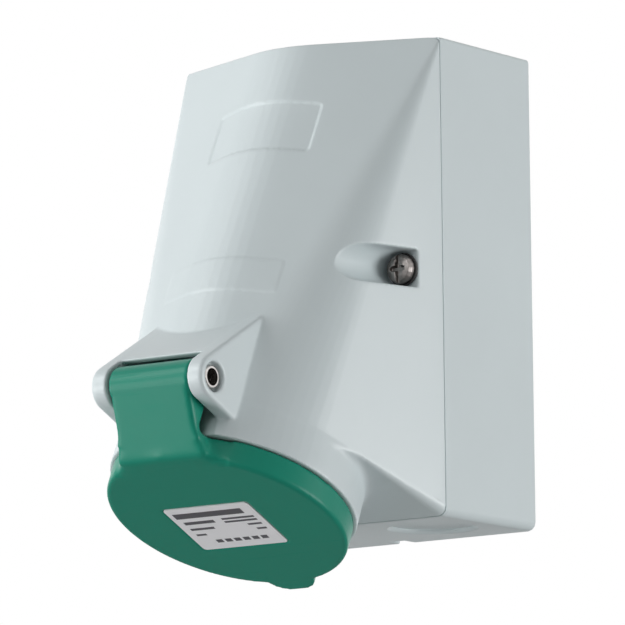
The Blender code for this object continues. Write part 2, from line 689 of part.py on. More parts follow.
def knockout_tools():
    """Round places in the top and bottom walls that are thinned from both sides for a cable entry."""
    made = []
    for level_name, level in (('bottom', -1), ('top', 1)):
        for side_name, side in (('left', -1), ('right', 1)):
            place = Matrix.Translation((side * KNOCKOUT_X, -KNOCKOUT_Y, level * BOX_HEIGHT / 2))
            wide = KNOCKOUT_RADIUS + KNOCKOUT_CHAMFER
            outer = turned([(0, -KNOCKOUT_RECESS), (KNOCKOUT_RADIUS, -KNOCKOUT_RECESS),
                            (KNOCKOUT_RADIUS, -KNOCKOUT_CHAMFER), (wide, 0), (wide, CUT_BEYOND),
                            (0, CUT_BEYOND)],
                           KNOCKOUT_SIDES)
            upright = place if level > 0 else place @ Matrix.Rotation(math.pi, 4, 'X')
            bmesh.ops.transform(outer, matrix=upright, verts=outer.verts)
            name = f'knockout_{level_name}_{side_name}'
            made.append(tool(f'{name}_outer', outer))
            made.append(tool(f'{name}_inner', rod(KNOCKOUT_RADIUS - KNOCKOUT_STEP, -WALL - CUT_BEYOND,
                                                  -KNOCKOUT_RECESS - KNOCKOUT_WEB, KNOCKOUT_SIDES, upright)))
    return made


def rear_housing(material):
    made = piece('rear_housing', box_prism(0.0, 0.0, PARTING_BACK), material)
    hollow = tool('box_hollow', box_prism(WALL, WALL, PARTING_BACK + CUT_BEYOND))
    rim = tool('box_rim', box_prism(SEAL_LIP, PARTING_BACK - SEAL_DEPTH, PARTING_BACK + CUT_BEYOND))
    cut(made, hollow, rim)
    holes = []
    floor = WALL - JOIN_DEPTH
    for name, side in (('left', -1), ('right', 1)):
        centre = Matrix.Translation((side * SCREW_X, 0, SCREW_Z)) @ Y_BACK.inverted()
        trim = tool(f'pillar_trim_{name}', box_prism(WALL + JOINT_GAP, 0.0, BOX_DEPTH))
        pillar = tool(f'pillar_{name}', rod(PILLAR_RADIUS, floor, PARTING_BACK, PILLAR_SIDES, centre))
        keep_inside(pillar, trim)
        rib_low, rib_high = sorted((side * (BOX_WIDTH / 2 - floor), side * (SCREW_X - SCREW_RADIUS)))
        rib_front = PARTING_BACK - 2 * SEAL_DEPTH
        rib = tool(f'pillar_rib_{name}', block((rib_low, -rib_front, SCREW_Z - PILLAR_RIB / 2),
                                               (rib_high, -floor, SCREW_Z + PILLAR_RIB / 2)))
        join(made, pillar, rib)
        holes.append(tool(f'pillar_hole_{name}', rod(SCREW_RADIUS + JOINT_GAP,
                                                     RECESS_Y - SCREW_LENGTH - SCREW_HOLE_BEYOND,
                                                     PARTING_BACK + CUT_BEYOND, HOLE_SIDES, centre)))
    for level_name, level in (('low', -1), ('high', 1)):
        for side_name, side in (('left', -1), ('right', 1)):
            centre = Matrix.Translation((side * FIXING_X, 0, level * FIXING_Z)) @ Y_BACK.inverted()
            name = f'fixing_{level_name}_{side_name}'
            top = WALL + FIXING_BOSS_HEIGHT
            join(made, tool(f'{name}_boss', rod(FIXING_BOSS_RADIUS, floor, top, SMALL_SIDES, centre)))
            holes.append(tool(f'{name}_hole', rod(FIXING_RADIUS, -CUT_BEYOND, top + CUT_BEYOND,
                                                  HOLE_SIDES, centre)))
    below = -BOX_HEIGHT / 2
    drain = tool('drain_notch', block((-DRAIN_WIDTH / 2, -DRAIN_DEPTH, below - CUT_BEYOND),
                                      (DRAIN_WIDTH / 2, CUT_BEYOND, below + WALL + CUT_BEYOND)))
    cut(made, *holes, *knockout_tools(), drain)
    return made


def housing_seal(material):
    inset = SEAL_LIP + JOINT_GAP
    made = piece('housing_seal', box_prism(inset, PARTING_BACK - SEAL_DEPTH + JOINT_GAP, PARTING_BACK),
                 material)
    cut(made, tool('housing_seal_opening', box_prism(WALL, BOX_DEPTH / 2, BOX_DEPTH + CUT_BEYOND)))
    return made


# Cover screws

def screw_shape(radius, length, head_radius, head_height, sides):
    """A pan head screw along Z: the head's underside is at z = 0 and the shank goes up."""
    head = [(head_radius * out, -head_height * high) for out, high in PAN_HEAD]
    tip = radius * SCREW_TIP
    return turned([(0, -head_height), *head, (head_radius, 0), (radius, 0), (radius, length - tip),
                   (radius - tip, length), (0, length)], sides)


def slot_block(length, width, head_height, depth):
    """A straight slot across a screw's head, along X."""
    return block((-length / 2, -width / 2, -head_height - CUT_BEYOND),
                 (length / 2, width / 2, depth - head_height))


def cover_screws(steel, rubber):
    head_back = RECESS_Y + 2 * JOINT_GAP + SCREW_SEAL_THICKNESS
    hole = SCREW_RADIUS + JOINT_GAP
    seal_end = JOINT_GAP + SCREW_SEAL_THICKNESS
    for name, side in (('left', -1), ('right', 1)):
        frame = frame_empty(f'cover_screw_axis_{name}',
                            Matrix.Translation((side * SCREW_X, -head_back, SCREW_Z)) @ Y_BACK)
        screw = piece(f'cover_screw_{name}', screw_shape(SCREW_RADIUS, SCREW_LENGTH, SCREW_HEAD_RADIUS,
                                                         SCREW_HEAD_HEIGHT, SMALL_SIDES), steel, frame)
        level = tool(f'cover_screw_slot_level_{name}', slot_block(CROSS_LENGTH, CROSS_WIDTH,
                                                                  SCREW_HEAD_HEIGHT,
                                                                  CROSS_DEPTH), frame)
        upright = tool(f'cover_screw_slot_upright_{name}', slot_block(SLOT_LENGTH, CROSS_WIDTH,
                                                                      SCREW_HEAD_HEIGHT,
                                                                      CROSS_DEPTH), frame)
        upright.data.transform(Matrix.Rotation(math.radians(90), 4, 'Z'))
        cut(screw, level, upright)
        piece(f'cover_screw_seal_{name}',
              turned([(hole, JOINT_GAP), (SCREW_SEAL_RADIUS, JOINT_GAP), (SCREW_SEAL_RADIUS, seal_end),
                      (hole, seal_end)], SMALL_SIDES), rubber, frame)


# Insert and contacts

CONTACTS = (('earth', 90, EARTH_PIN_RADIUS), ('line_1', 162, LINE_PIN_RADIUS),
            ('line_2', 234, LINE_PIN_RADIUS),
            ('line_3', 306, LINE_PIN_RADIUS), ('neutral', 18, LINE_PIN_RADIUS))


def contact_place(angle):
    turn = math.radians(angle)
    return Matrix.Translation((CONTACT_CIRCLE * math.cos(turn), CONTACT_CIRCLE * math.sin(turn), 0))


def carrier_bore(pin):
    """The stepped hole of one contact in the insert: pin hole, sleeve and flange seat, upwards."""
    corner = 1 / math.cos(math.pi / BORE_SIDES)  # puts the middles of the flats at the radius that is meant
    hole = (pin + PIN_HOLE_CLEARANCE) * corner
    sleeve = (pin + SLEEVE_WALL + JOINT_GAP) * corner
    flange = (pin + SLEEVE_WALL + CONTACT_FLANGE + JOINT_GAP) * corner
    mouth = CARRIER_FACE + SLEEVE_SET_BACK - JOINT_GAP
    seat = CARRIER_TOP - CONTACT_FLANGE_HEIGHT - JOINT_GAP
    low = CARRIER_FACE - PIN_HOLE_CHAMFER
    high = CARRIER_TOP + CUT_BEYOND
    return turned([(0, low), (hole + 2 * PIN_HOLE_CHAMFER, low), (hole, CARRIER_FACE + PIN_HOLE_CHAMFER),
                   (hole, mouth), (sleeve, mouth), (sleeve, seat), (flange, seat), (flange, high),
                   (0, high)], BORE_SIDES)


def contact_carrier(plastic, axis):
    shape = turned([(0, CARRIER_FACE), (CARRIER_RADIUS - CARRIER_CHAMFER, CARRIER_FACE),
                    (CARRIER_RADIUS, CARRIER_FACE + CARRIER_CHAMFER), (CARRIER_RADIUS, FLANGE_UP),
                    (CARRIER_FLANGE_RADIUS, FLANGE_UP), (CARRIER_FLANGE_RADIUS, CARRIER_TOP),
                    (0, CARRIER_TOP)],
                   CARRIER_SIDES)
    made = piece('contact_carrier', shape, plastic, axis)
    for name, angle, pin in CONTACTS:
        bore = carrier_bore(pin)
        bmesh.ops.transform(bore, matrix=contact_place(angle), verts=bore.verts)
        cut(made, tool(f'carrier_bore_{name}', bore, axis))
    for name, side in (('left', -1), ('right', 1)):
        cut(made, tool(f'carrier_flange_hole_{name}',
                       rod(CARRIER_SCREW_RADIUS + JOINT_GAP, FLANGE_UP - CUT_BEYOND, CARRIER_TOP + CUT_BEYOND,
                           HOLE_SIDES, Matrix.Translation((side * CARRIER_SCREW_OUT, 0, 0))), axis))
    return made


def terminal_block(plastic, axis):
    made = piece('terminal_block', turned([(0, BLOCK_UP), (BLOCK_RADIUS, BLOCK_UP),
                                           (BLOCK_RADIUS, BLOCK_TOP - BLOCK_CHAMFER),
                                           (BLOCK_RADIUS - BLOCK_CHAMFER, BLOCK_TOP), (0, BLOCK_TOP)],
                                          CARRIER_SIDES), plastic, axis)
    for name, angle, _ in CONTACTS:
        cut(made, tool(f'block_hole_{name}', rod(TERMINAL_RADIUS + JOINT_GAP, BLOCK_UP - CUT_BEYOND,
                                                 BLOCK_TOP + CUT_BEYOND, CONTACT_SIDES,
                                                 contact_place(angle)), axis))
    return made


def contact_shape(pin):
    """A turned contact: bored sleeve below, flange in the insert, terminal post with its wire hole above."""
    low = CARRIER_FACE + SLEEVE_SET_BACK
    seat = CARRIER_TOP - CONTACT_FLANGE_HEIGHT
    end = BLOCK_TOP + TERMINAL_REACH
    bore = pin + CONTACT_FIT
    sleeve = pin + SLEEVE_WALL
    flange = sleeve + CONTACT_FLANGE
    bore_end = seat - SLEEVE_SOLID
    hole_end = end - WIRE_HOLE_DEPTH
    return turned([(bore, low), (sleeve, low), (sleeve, seat), (flange, seat), (flange, CARRIER_TOP),
                   (TERMINAL_RADIUS, CARRIER_TOP), (TERMINAL_RADIUS, end), (WIRE_HOLE_RADIUS, end),
                   (WIRE_HOLE_RADIUS, hole_end), (0, hole_end), (0, bore_end), (bore, bore_end)],
                  CONTACT_SIDES)


def contacts(brass, steel, axis):
    """The five contacts, each with a slot in its sleeve and a clamp screw across its terminal."""
    low = CARRIER_FACE + SLEEVE_SET_BACK
    clamp = Matrix.Translation((0, 0, BLOCK_TOP + TERMINAL_REACH - CLAMP_SCREW_BELOW_END)) @ X_ALONG
    reach = TERMINAL_RADIUS + CLAMP_SCREW_PROUD
    for name, angle, pin in CONTACTS:
        frame = frame_empty(f'contact_axis_{name}',
                            contact_place(angle) @ Matrix.Rotation(math.radians(angle), 4, 'Z'), axis)
        made = piece(f'contact_{name}', contact_shape(pin), brass, frame)
        half = pin + SLEEVE_WALL + CUT_BEYOND
        slot = tool(f'contact_slot_{name}', block((-SLEEVE_SLOT / 2, -half, low - CUT_BEYOND),
                                                  (SLEEVE_SLOT / 2, half, low + SLEEVE_SLOT_LENGTH)), frame)
        clamp_hole = tool(f'clamp_hole_{name}', rod(CLAMP_SCREW_RADIUS + JOINT_GAP, 0.0, reach,
                                                    HOLE_SIDES, clamp),
                          frame)
        cut(made, slot, clamp_hole)
        screw = piece(f'terminal_screw_{name}', rod(CLAMP_SCREW_RADIUS, reach - CLAMP_SCREW_LENGTH, reach,
                                                    HOLE_SIDES,
                                                    clamp), steel, frame)
        notch = block((-CLAMP_SLOT_WIDTH / 2, -CLAMP_SCREW_RADIUS - CUT_BEYOND, reach - CLAMP_SLOT_DEPTH),
                      (CLAMP_SLOT_WIDTH / 2, CLAMP_SCREW_RADIUS + CUT_BEYOND, reach + CUT_BEYOND))
        bmesh.ops.transform(notch, matrix=clamp, verts=notch.verts)
        cut(screw, tool(f'terminal_screw_slot_{name}', notch, frame))


def carrier_fixings(steel, rubber, axis):
    head = CARRIER_SCREW_HEAD_RADIUS
    for name, side in (('left', -1), ('right', 1)):
        frame = frame_empty(f'carrier_screw_axis_{name}',
                            Matrix.Translation((side * CARRIER_SCREW_OUT, 0, CARRIER_TOP + JOINT_GAP))
                            @ Matrix.Rotation(math.pi, 4, 'X'), axis)
        screw = piece(f'carrier_screw_{name}', screw_shape(CARRIER_SCREW_RADIUS, CARRIER_SCREW_LENGTH, head,
                                                           CARRIER_SCREW_HEAD_HEIGHT, CONTACT_SIDES),
                      steel, frame)
        slot = slot_block(2 * (head + CUT_BEYOND), CARRIER_SLOT_WIDTH, CARRIER_SCREW_HEAD_HEIGHT,
                          CARRIER_SLOT_DEPTH)
        cut(screw, tool(f'carrier_screw_slot_{name}', slot, frame))
    low = WELL_DEPTH + WELL_FLOOR + JOINT_GAP
    high = low + CARRIER_SEAL_THICKNESS
    inner = CARRIER_RADIUS + CARRIER_CLEARANCE
    outer = inner + CARRIER_SEAL_WIDTH
    ring = turned([(inner, low), (outer, low), (outer, high), (inner, high)], CARRIER_SIDES)
    piece('carrier_seal', ring, rubber, axis)


# Lid and hinge

def lid_disc():
    """The lid's round cup, open towards the collar, with the seat and the rib of its seal."""
    rim = -JOINT_GAP
    inner = LID_RADIUS - LID_SKIRT
    rib = LID_SEAL_INNER - JOINT_GAP
    seat = -LID_SEAL_STEP - JOINT_GAP
    rib_top = seat + LID_SEAL_RIB_HEIGHT
    floor = LID_FACE - LID_HEIGHT
    edge = arc_between((LID_RADIUS - LID_EDGE, LID_EDGE - LID_HEIGHT), LID_EDGE, -90, 0, LID_EDGE_STEPS)
    return [(0, -LID_HEIGHT), *edge, (LID_RADIUS, rim), (inner, rim), (inner, seat), (rib, seat),
            (rib, rib_top),
            (rib - LID_SEAL_RIB, rib_top), (rib - LID_SEAL_RIB, floor), (0, floor)]


def arm_front():
    """Foot of the arm's front face on the lid, and that face's upward direction and normal, in y and z."""
    foot = Vector((LID_EDGE - LID_RADIUS, FACE_OVERLAP - LID_HEIGHT))
    centre = (-HINGE_OUT, HINGE_UP)
    angle = math.radians(tangent_angle(foot, centre, BARREL_RADIUS, -1))
    outward = Vector((math.cos(angle), math.sin(angle)))
    touch = Vector(centre) + BARREL_RADIUS * outward
    return foot, (touch - foot).normalized(), outward


def arm_outline():
    """Side outline of the lid's arm in y and z: round the barrel and down to the lid's outer edge."""
    foot, _, outward = arm_front()
    turn = math.degrees(math.atan2(outward.y, outward.x)) + 360
    barrel = arc_between((-HINGE_OUT, HINGE_UP), BARREL_RADIUS, BARREL_START, turn, BARREL_STEPS)
    inside = LID_SKIRT + JOIN_DEPTH - LID_RADIUS
    return [*barrel, tuple(foot), (inside, foot.y), (inside, -JOINT_GAP), (-ARM_BACK_OUT, -JOINT_GAP),
            (-ARM_BACK_OUT, HINGE_UP - ARM_BACK_DROP)]


def arm_hollow_outline(plate, high):
    """The room behind the arm's front plate in y and z, from just above the lid's rim up to a height."""
    behind = CUT_BEYOND - COLLAR_FLAT
    foot, up, outward = arm_front()
    start = foot - plate * outward
    points = [tuple(start + up * ((height - start.y) / up.y)) for height in (ARM_HOLLOW_LOW, high)]
    return [points[0], points[1], (behind, high), (behind, ARM_HOLLOW_LOW)]


def spring_way_outline():
    """The room for the spring's legs in y and z: up the arm's plate to the coil, open to the collar behind."""
    low, _, (behind, _), low_behind = arm_hollow_outline(SPRING_PLATE, HINGE_UP)
    _, _, outward = arm_front()
    beside_coil = Vector((-HINGE_OUT, HINGE_UP)) + (BARREL_RADIUS - SPRING_PLATE) * outward
    high = HINGE_UP + SPRING_POCKET_RADIUS / 2
    return [low, tuple(beside_coil), (-HINGE_OUT, HINGE_UP), (-HINGE_OUT, high), (behind, high), low_behind]


def tab_outline():
    """Outline of the thumb tab in x and y: a tongue with round corners on the lid's lower edge."""
    end = LID_RADIUS + TAB_PROUD
    right = arc_between((TAB_HALF_WIDTH - TAB_CORNER, end - TAB_CORNER), TAB_CORNER, 0, 90, TAB_STEPS)
    left = arc_between((TAB_CORNER - TAB_HALF_WIDTH, end - TAB_CORNER), TAB_CORNER, 90, 180, TAB_STEPS)
    root = math.sqrt((LID_RADIUS - JOIN_DEPTH) ** 2 - (TAB_HALF_WIDTH + TAB_FLARE) ** 2)
    return [(TAB_HALF_WIDTH + TAB_FLARE, root), *right, *left, (-TAB_HALF_WIDTH - TAB_FLARE, root)]


def lid(plastic, hinge):
    to_hinge = HINGE.inverted()
    shape = turned(lid_disc())
    bmesh.ops.transform(shape, matrix=to_hinge, verts=shape.verts)
    made = piece('lid', shape, plastic, hinge)
    arm = tool('lid_arm', prism(arm_outline(), -ARM_HALF_WIDTH, ARM_HALF_WIDTH, to_hinge @ SIDE_VIEW), hinge)
    cut(arm, tool('lid_cup_room', rod(LID_RADIUS - LID_SKIRT / 2, -LID_SEAL_STEP - JOINT_GAP, CUT_BEYOND,
                                      ROUND_SIDES, to_hinge), hinge))
    tab = tool('lid_tab', prism(tab_outline(), FACE_OVERLAP - LID_HEIGHT, TAB_HEIGHT - LID_HEIGHT,
                                to_hinge), hinge)
    floor = LID_FACE - LID_HEIGHT
    catch = tool('lid_catch', block((-CATCH_HALF_WIDTH, -CATCH_OUT, floor - JOIN_DEPTH),
                                    (CATCH_HALF_WIDTH, CATCH_THICKNESS - CATCH_OUT, floor + CATCH_DROP)),
                 hinge)
    catch.data.transform(to_hinge)
    join(made, arm, tab, catch)
    reach = SPRING_POCKET_HALF
    pocket = tool('spring_pocket', rod(SPRING_POCKET_RADIUS, -reach, reach, PILLAR_SIDES, X_ALONG), hinge)
    way = tool('spring_way', prism(spring_way_outline(), -reach, reach, to_hinge @ SIDE_VIEW), hinge)
    end = ARM_HALF_WIDTH + CUT_BEYOND
    bore = tool('lid_bore', rod(PIN_RADIUS + JOINT_GAP, -end, end, SMALL_SIDES, X_ALONG), hinge)
    half = ARM_HALF_WIDTH - ARM_GUSSET
    hollow = tool('arm_hollow', prism(arm_hollow_outline(ARM_PLATE, HINGE_UP - BARREL_RADIUS - JOINT_GAP),
                                      -half,
                                      half, to_hinge @ SIDE_VIEW), hinge)
    recess = PLATE_THICKNESS + JOINT_GAP
    seat = tool('plate_seat', plate_prism(JOINT_GAP, -LID_HEIGHT - CUT_BEYOND, recess - LID_HEIGHT), hinge)
    seat.data.transform(to_hinge)
    cut(made, pocket, way, hollow, bore, seat)
    return made


def plate_prism(margin, low, high):
    outline = rounded_rectangle(PLATE_WIDTH / 2 + margin, PLATE_HEIGHT / 2 + margin, PLATE_CORNER,
                                PLATE_CORNER)
    return prism([(x + PLATE_X, y + PLATE_Y) for x, y in outline], low, high)


def lid_fittings(rubber, label, hinge):
    to_hinge = HINGE.inverted()
    outer = LID_RADIUS - LID_SKIRT - JOINT_GAP
    seal = turned([(LID_SEAL_INNER, -LID_SEAL_STEP), (outer, -LID_SEAL_STEP), (outer, -JOINT_GAP),
                   (LID_SEAL_INNER, -JOINT_GAP)])
    bmesh.ops.transform(seal, matrix=to_hinge, verts=seal.verts)
    piece('lid_seal', seal, rubber, hinge)
    plate = plate_prism(0, -LID_HEIGHT, PLATE_THICKNESS - LID_HEIGHT)
    bmesh.ops.transform(plate, matrix=to_hinge, verts=plate.verts)
    piece('rating_plate', plate, label, hinge)


def hinge_pin(steel, axis):
    frame = frame_empty('pin_axis', HINGE @ X_ALONG, axis)
    half = EAR_OUTER - PIN_SET_BACK
    edge = PIN_RADIUS - PIN_CHAMFER
    piece('hinge_pin', turned([(PIN_BORE, -half), (edge, -half), (PIN_RADIUS, PIN_CHAMFER - half),
                               (PIN_RADIUS, half - PIN_CHAMFER), (edge, half), (PIN_BORE, half)],
                              SMALL_SIDES),
          steel, frame)


def spring_path():
    """Middle line of the spring wire: up from the arm, round the coil, and down to the collar."""
    _, up, outward = arm_front()
    on_arm = SPRING_RADIUS * outward - SPRING_LEG * up
    on_collar = Vector((HINGE_OUT - COLLAR_FLAT - JOINT_GAP - SPRING_WIRE, -SPRING_LEG_DROP))
    start = math.degrees(math.atan2(outward.y, outward.x))
    end = tangent_angle(on_collar, (0, 0), SPRING_RADIUS, 1) - 360 * SPRING_TURNS
    steps = round((start - end) / SPRING_STEP)
    points = [Vector((-SPRING_HALF_LENGTH, *on_arm))]
    for step in range(steps + 1):
        angle = math.radians(start + (end - start) * step / steps)
        along = SPRING_HALF_LENGTH * (2 * step / steps - 1)
        points.append(Vector((along, SPRING_RADIUS * math.cos(angle), SPRING_RADIUS * math.sin(angle))))
    points.append(Vector((SPRING_HALF_LENGTH, *on_collar)))
    return points


def lid_spring(steel, axis):
    """A coil round the pin. One leg leans on the inside of the arm and the other on the collar's flat."""
    points = spring_path()
    curve = bpy.data.curves.new('lid_spring', 'CURVE')
    curve.dimensions = '3D'
    curve.bevel_depth = SPRING_WIRE
    curve.bevel_resolution = 1
    curve.use_fill_caps = True
    spline = curve.splines.new('POLY')
    spline.points.add(len(points) - 1)
    for target, point in zip(spline.points, points):
        target.co = (*point, 1)
    curve.materials.append(steel)
    made = bpy.data.objects.new('lid_spring', curve)
    bpy.context.scene.collection.objects.link(made)
    made.parent = axis
    made.matrix_local = HINGE
    return made


def main():
    clear_scene()
    grey = finish('grey plastic', (0.62, 0.66, 0.67), 0.42)
    green = finish('green plastic', (0.02, 0.22, 0.13), 0.4)
    dark = finish('dark insert plastic', (0.06, 0.065, 0.07), 0.5)
    rubber = finish('black rubber', (0.02, 0.02, 0.02), 0.8)
    steel = finish('plated steel', (0.62, 0.6, 0.57), 0.3, 1.0)
    brass = finish('brass', (0.75, 0.58, 0.28), 0.3, 1.0)
    label = finish('pale label', (0.8, 0.8, 0.8), 0.5)
    axis = frame_empty('socket_axis', SOCKET)
    hinge = frame_empty('lid_hinge', HINGE, axis)
    rear_housing(grey)
    front_housing(grey, axis)
    housing_seal(rubber)
    cover_screws(steel, rubber)
    contact_carrier(dark, axis)
    terminal_block(dark, axis)
    contacts(brass, steel, axis)
    carrier_fixings(steel, rubber, axis)
    lid(green, hinge)
    lid_fittings(rubber, label, hinge)
    hinge_pin(steel, axis)
    lid_spring(steel, axis)


main()
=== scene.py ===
# %% [markdown]
# An industrial wall socket in moulded plastic: a grey box on the wall, a grey hood that narrows to a
# round collar, and a green sprung lid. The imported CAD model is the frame, in metres, and this lesson
# dresses it: camera and light first, then the finishes, then the pieces that need finer shapes.

# %% Load the frame
import math

import bmesh
import bpy
from mathutils import Matrix, Vector


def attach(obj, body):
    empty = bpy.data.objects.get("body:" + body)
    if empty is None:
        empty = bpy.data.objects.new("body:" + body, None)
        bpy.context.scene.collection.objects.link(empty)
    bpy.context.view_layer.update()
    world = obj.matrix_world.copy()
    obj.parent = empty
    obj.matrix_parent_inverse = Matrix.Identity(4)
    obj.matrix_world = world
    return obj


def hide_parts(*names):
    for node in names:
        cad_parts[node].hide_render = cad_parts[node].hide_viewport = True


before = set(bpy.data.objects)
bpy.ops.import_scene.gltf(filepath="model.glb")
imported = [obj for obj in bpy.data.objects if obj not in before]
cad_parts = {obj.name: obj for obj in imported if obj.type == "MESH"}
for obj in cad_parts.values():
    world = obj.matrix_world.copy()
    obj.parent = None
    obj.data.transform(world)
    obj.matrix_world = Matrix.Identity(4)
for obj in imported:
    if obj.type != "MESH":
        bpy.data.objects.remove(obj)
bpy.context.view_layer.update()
print("CAD nodes:", len(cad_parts))

# %% [markdown]
# The photograph looks up at the socket from the right. The camera's place was found by matching points
# of the CAD model to the photograph, so it is written down here as a place, an aim, a lens and a roll.

# %% Camera
CAMERA_PLACE = Vector((1.21589, -1.74082, -0.33237))
CAMERA_AIM = Vector((-0.024025, -0.016918, -0.000576))
CAMERA_LENS = 388.44  # millimetres
SENSOR_WIDTH = 36.0  # millimetres
CAMERA_ROLL = math.radians(-0.615)
FAR_CLIP = 10.0


def in_scene(name, data):
    """A new object for the data, linked into the scene."""
    made = bpy.data.objects.new(name, data)
    bpy.context.scene.collection.objects.link(made)
    return made


def looking(place, aim):
    """The pose of a camera or lamp that stands at a place and looks at an aim."""
    turn = (aim - place).to_track_quat("-Z", "Y").to_matrix().to_4x4()
    return Matrix.Translation(place) @ turn


camera_data = bpy.data.cameras.new("photo_camera")
camera_data.lens = CAMERA_LENS
camera_data.sensor_width = SENSOR_WIDTH
camera_data.clip_end = FAR_CLIP
camera = in_scene("photo_camera", camera_data)
camera.matrix_world = looking(CAMERA_PLACE, CAMERA_AIM) @ Matrix.Rotation(CAMERA_ROLL, 4, "Z")
bpy.context.scene.camera = camera
bpy.context.scene.view_settings.view_transform = "Standard"
print("camera to aim:", round((CAMERA_AIM - CAMERA_PLACE).length, 4), "m")

# %% [markdown]
# A product photograph is lit by large soft lamps, and area lamps give the same soft edges. Two stand at
# the left for the bright side of the hood, one at the right, a little behind the plane of the wall, for
# its flank, and a weaker one high in front fills the shade.

# %% Lamps
LAMPS = (
    # name, place, power in watts
    ("key_left", (-1.41, -1.41, -0.14), 19.2),
    ("key_left_high", (-1.22, -1.22, 1.0), 12.5),
    ("side_right", (1.87, 0.68, -0.17), 21.5),
    ("front_high", (0.45, -1.67, 1.0), 8.0),
)
LAMP_WIDTH = 0.9
LAMP_AIM = Vector((0, -0.05, 0))


def area_lamp(name, place, power):
    """A square soft lamp that points at the object's middle."""
    data = bpy.data.lights.new(name, "AREA")
    data.shape = "SQUARE"
    data.size = LAMP_WIDTH
    data.energy = power
    lamp = in_scene(name, data)
    lamp.matrix_world = looking(Vector(place), LAMP_AIM)


for name, place, power in LAMPS:
    area_lamp(name, place, power)
print("lamps:", len(LAMPS))

# %% [markdown]
# The photograph's background is white. The world is white only where the camera or a reflection sees it,
# and dim otherwise, so that the background is white without washing the plastic out. Light Path tells
# such rays apart. Materials are chains of small nodes, so a few helpers that make one node each keep
# the chains short to read.

# %% World
WORLD_LEVEL = 0.05


def feed(tree, socket, value):
    """Give a node's input a number, or link it to another node's output."""
    if isinstance(value, bpy.types.NodeSocket):
        tree.links.new(value, socket)
    else:
        socket.default_value = value


def worked_out(tree, operation, *values):
    """The result of a Math node on numbers and other nodes' outputs."""
    node = tree.nodes.new("ShaderNodeMath")
    node.operation = operation
    for socket, value in zip(node.inputs, values):
        feed(tree, socket, value)
    return node.outputs[0]


def mapped(tree, value, low, high, first, last):
    """The result of a Map Range node that takes low to first and high to last."""
    node = tree.nodes.new("ShaderNodeMapRange")
    for name, number in (("From Min", low), ("From Max", high), ("To Min", first), ("To Max", last)):
        node.inputs[name].default_value = number
    tree.links.new(value, node.inputs["Value"])
    return node.outputs["Result"]


world = bpy.data.worlds.new("studio")
bpy.context.scene.world = world
world.use_nodes = True
tree = world.node_tree
tree.nodes.clear()
path = tree.nodes.new("ShaderNodeLightPath")
seen = worked_out(tree, "MAXIMUM", path.outputs["Is Camera Ray"], path.outputs["Is Glossy Ray"])
seen = worked_out(tree, "MAXIMUM", seen, path.outputs["Is Transmission Ray"])
background = tree.nodes.new("ShaderNodeBackground")
background.inputs["Color"].default_value = (1, 1, 1, 1)
feed(tree, background.inputs["Strength"], mapped(tree, seen, 0.0, 1.0, WORLD_LEVEL, 1.0))
output = tree.nodes.new("ShaderNodeOutputWorld")
tree.links.new(background.outputs[0], output.inputs["Surface"])
print("world level for the plastic:", WORLD_LEVEL)

# %% [markdown]
# A pale floor far below throws a little light back up. To the camera it is paler still, as the
# photograph's paper is. Seen from below it is clear, through its alpha, so that it hides nothing from a
# camera that looks up at the socket.

# %% Floor
FLOOR_LEVEL = -0.70
FLOOR_SIZE = 6.0
PAPER = (0.72, 0.72, 0.72, 1)
PAPER_ROUGHNESS = 0.9
PAPER_GLOW = (0.9, 0.9, 0.9, 1)
FLOOR_LIFT = 0.70  # strength of that glow, for the camera only

floor_shape = bmesh.new()
bmesh.ops.create_grid(floor_shape, x_segments=1, y_segments=1, size=FLOOR_SIZE / 2,
                      matrix=Matrix.Translation((0, 0, FLOOR_LEVEL)))
floor_mesh = bpy.data.meshes.new("floor")
floor_shape.to_mesh(floor_mesh)
floor_shape.free()
floor = in_scene("floor", floor_mesh)
paper = bpy.data.materials.new("floor_paper")
paper.use_nodes = True
tree = paper.node_tree
shader = tree.nodes["Principled BSDF"]
shader.inputs["Base Color"].default_value = PAPER
shader.inputs["Roughness"].default_value = PAPER_ROUGHNESS
shader.inputs["Emission Color"].default_value = PAPER_GLOW
path = tree.nodes.new("ShaderNodeLightPath")
lift = worked_out(tree, "MULTIPLY", path.outputs["Is Camera Ray"], FLOOR_LIFT)
feed(tree, shader.inputs["Emission Strength"], lift)
side = tree.nodes.new("ShaderNodeNewGeometry")
from_above = worked_out(tree, "SUBTRACT", 1.0, side.outputs["Backfacing"])
feed(tree, shader.inputs["Alpha"], from_above)
floor_mesh.materials.append(paper)
print("floor at", FLOOR_LEVEL, "m")

# %% [markdown]
# Moulded plastic is never quite even. Its skin has a very fine spark-eroded grain, its colour and gloss
# drift a little from place to place, and handling leaves a few fine scratches that are duller than the
# rest. Every plastic here uses these effects, so they are built once as a node group, and each material
# gives it its own values. Soft noise makes the drift, the same noise stretched along one way makes the
# scratches, and a third one, a fraction of a millimetre across, makes the grain.

# %% Node group: moulded skin
DRIFT_SCALE = 28.0
DRIFT_DETAIL = 3.0
ROUGHNESS_SHARE = 1.2  # how much of the drift reaches the roughness
SCRATCH_TURN = (0.4, 0.9, 0.3)
SCRATCH_SCALE = (40.0, 900.0, 900.0)
SCRATCH_START = 0.66
SCRATCH_FULL = 0.74
SCRATCH_DETAIL = 1.0
NOISE_MIDDLE = 0.5
GRAIN_DETAIL = 2.0
GRAIN_ROUGHNESS = 0.6
SKIN_INPUTS = (("Color", "NodeSocketColor"), ("Drift", "NodeSocketFloat"), ("Roughness", "NodeSocketFloat"),
               ("Scuffs", "NodeSocketFloat"), ("Grain Size", "NodeSocketFloat"))
SKIN_OUTPUTS = (("Color", "NodeSocketColor"), ("Roughness", "NodeSocketFloat"), ("Height", "NodeSocketFloat"))


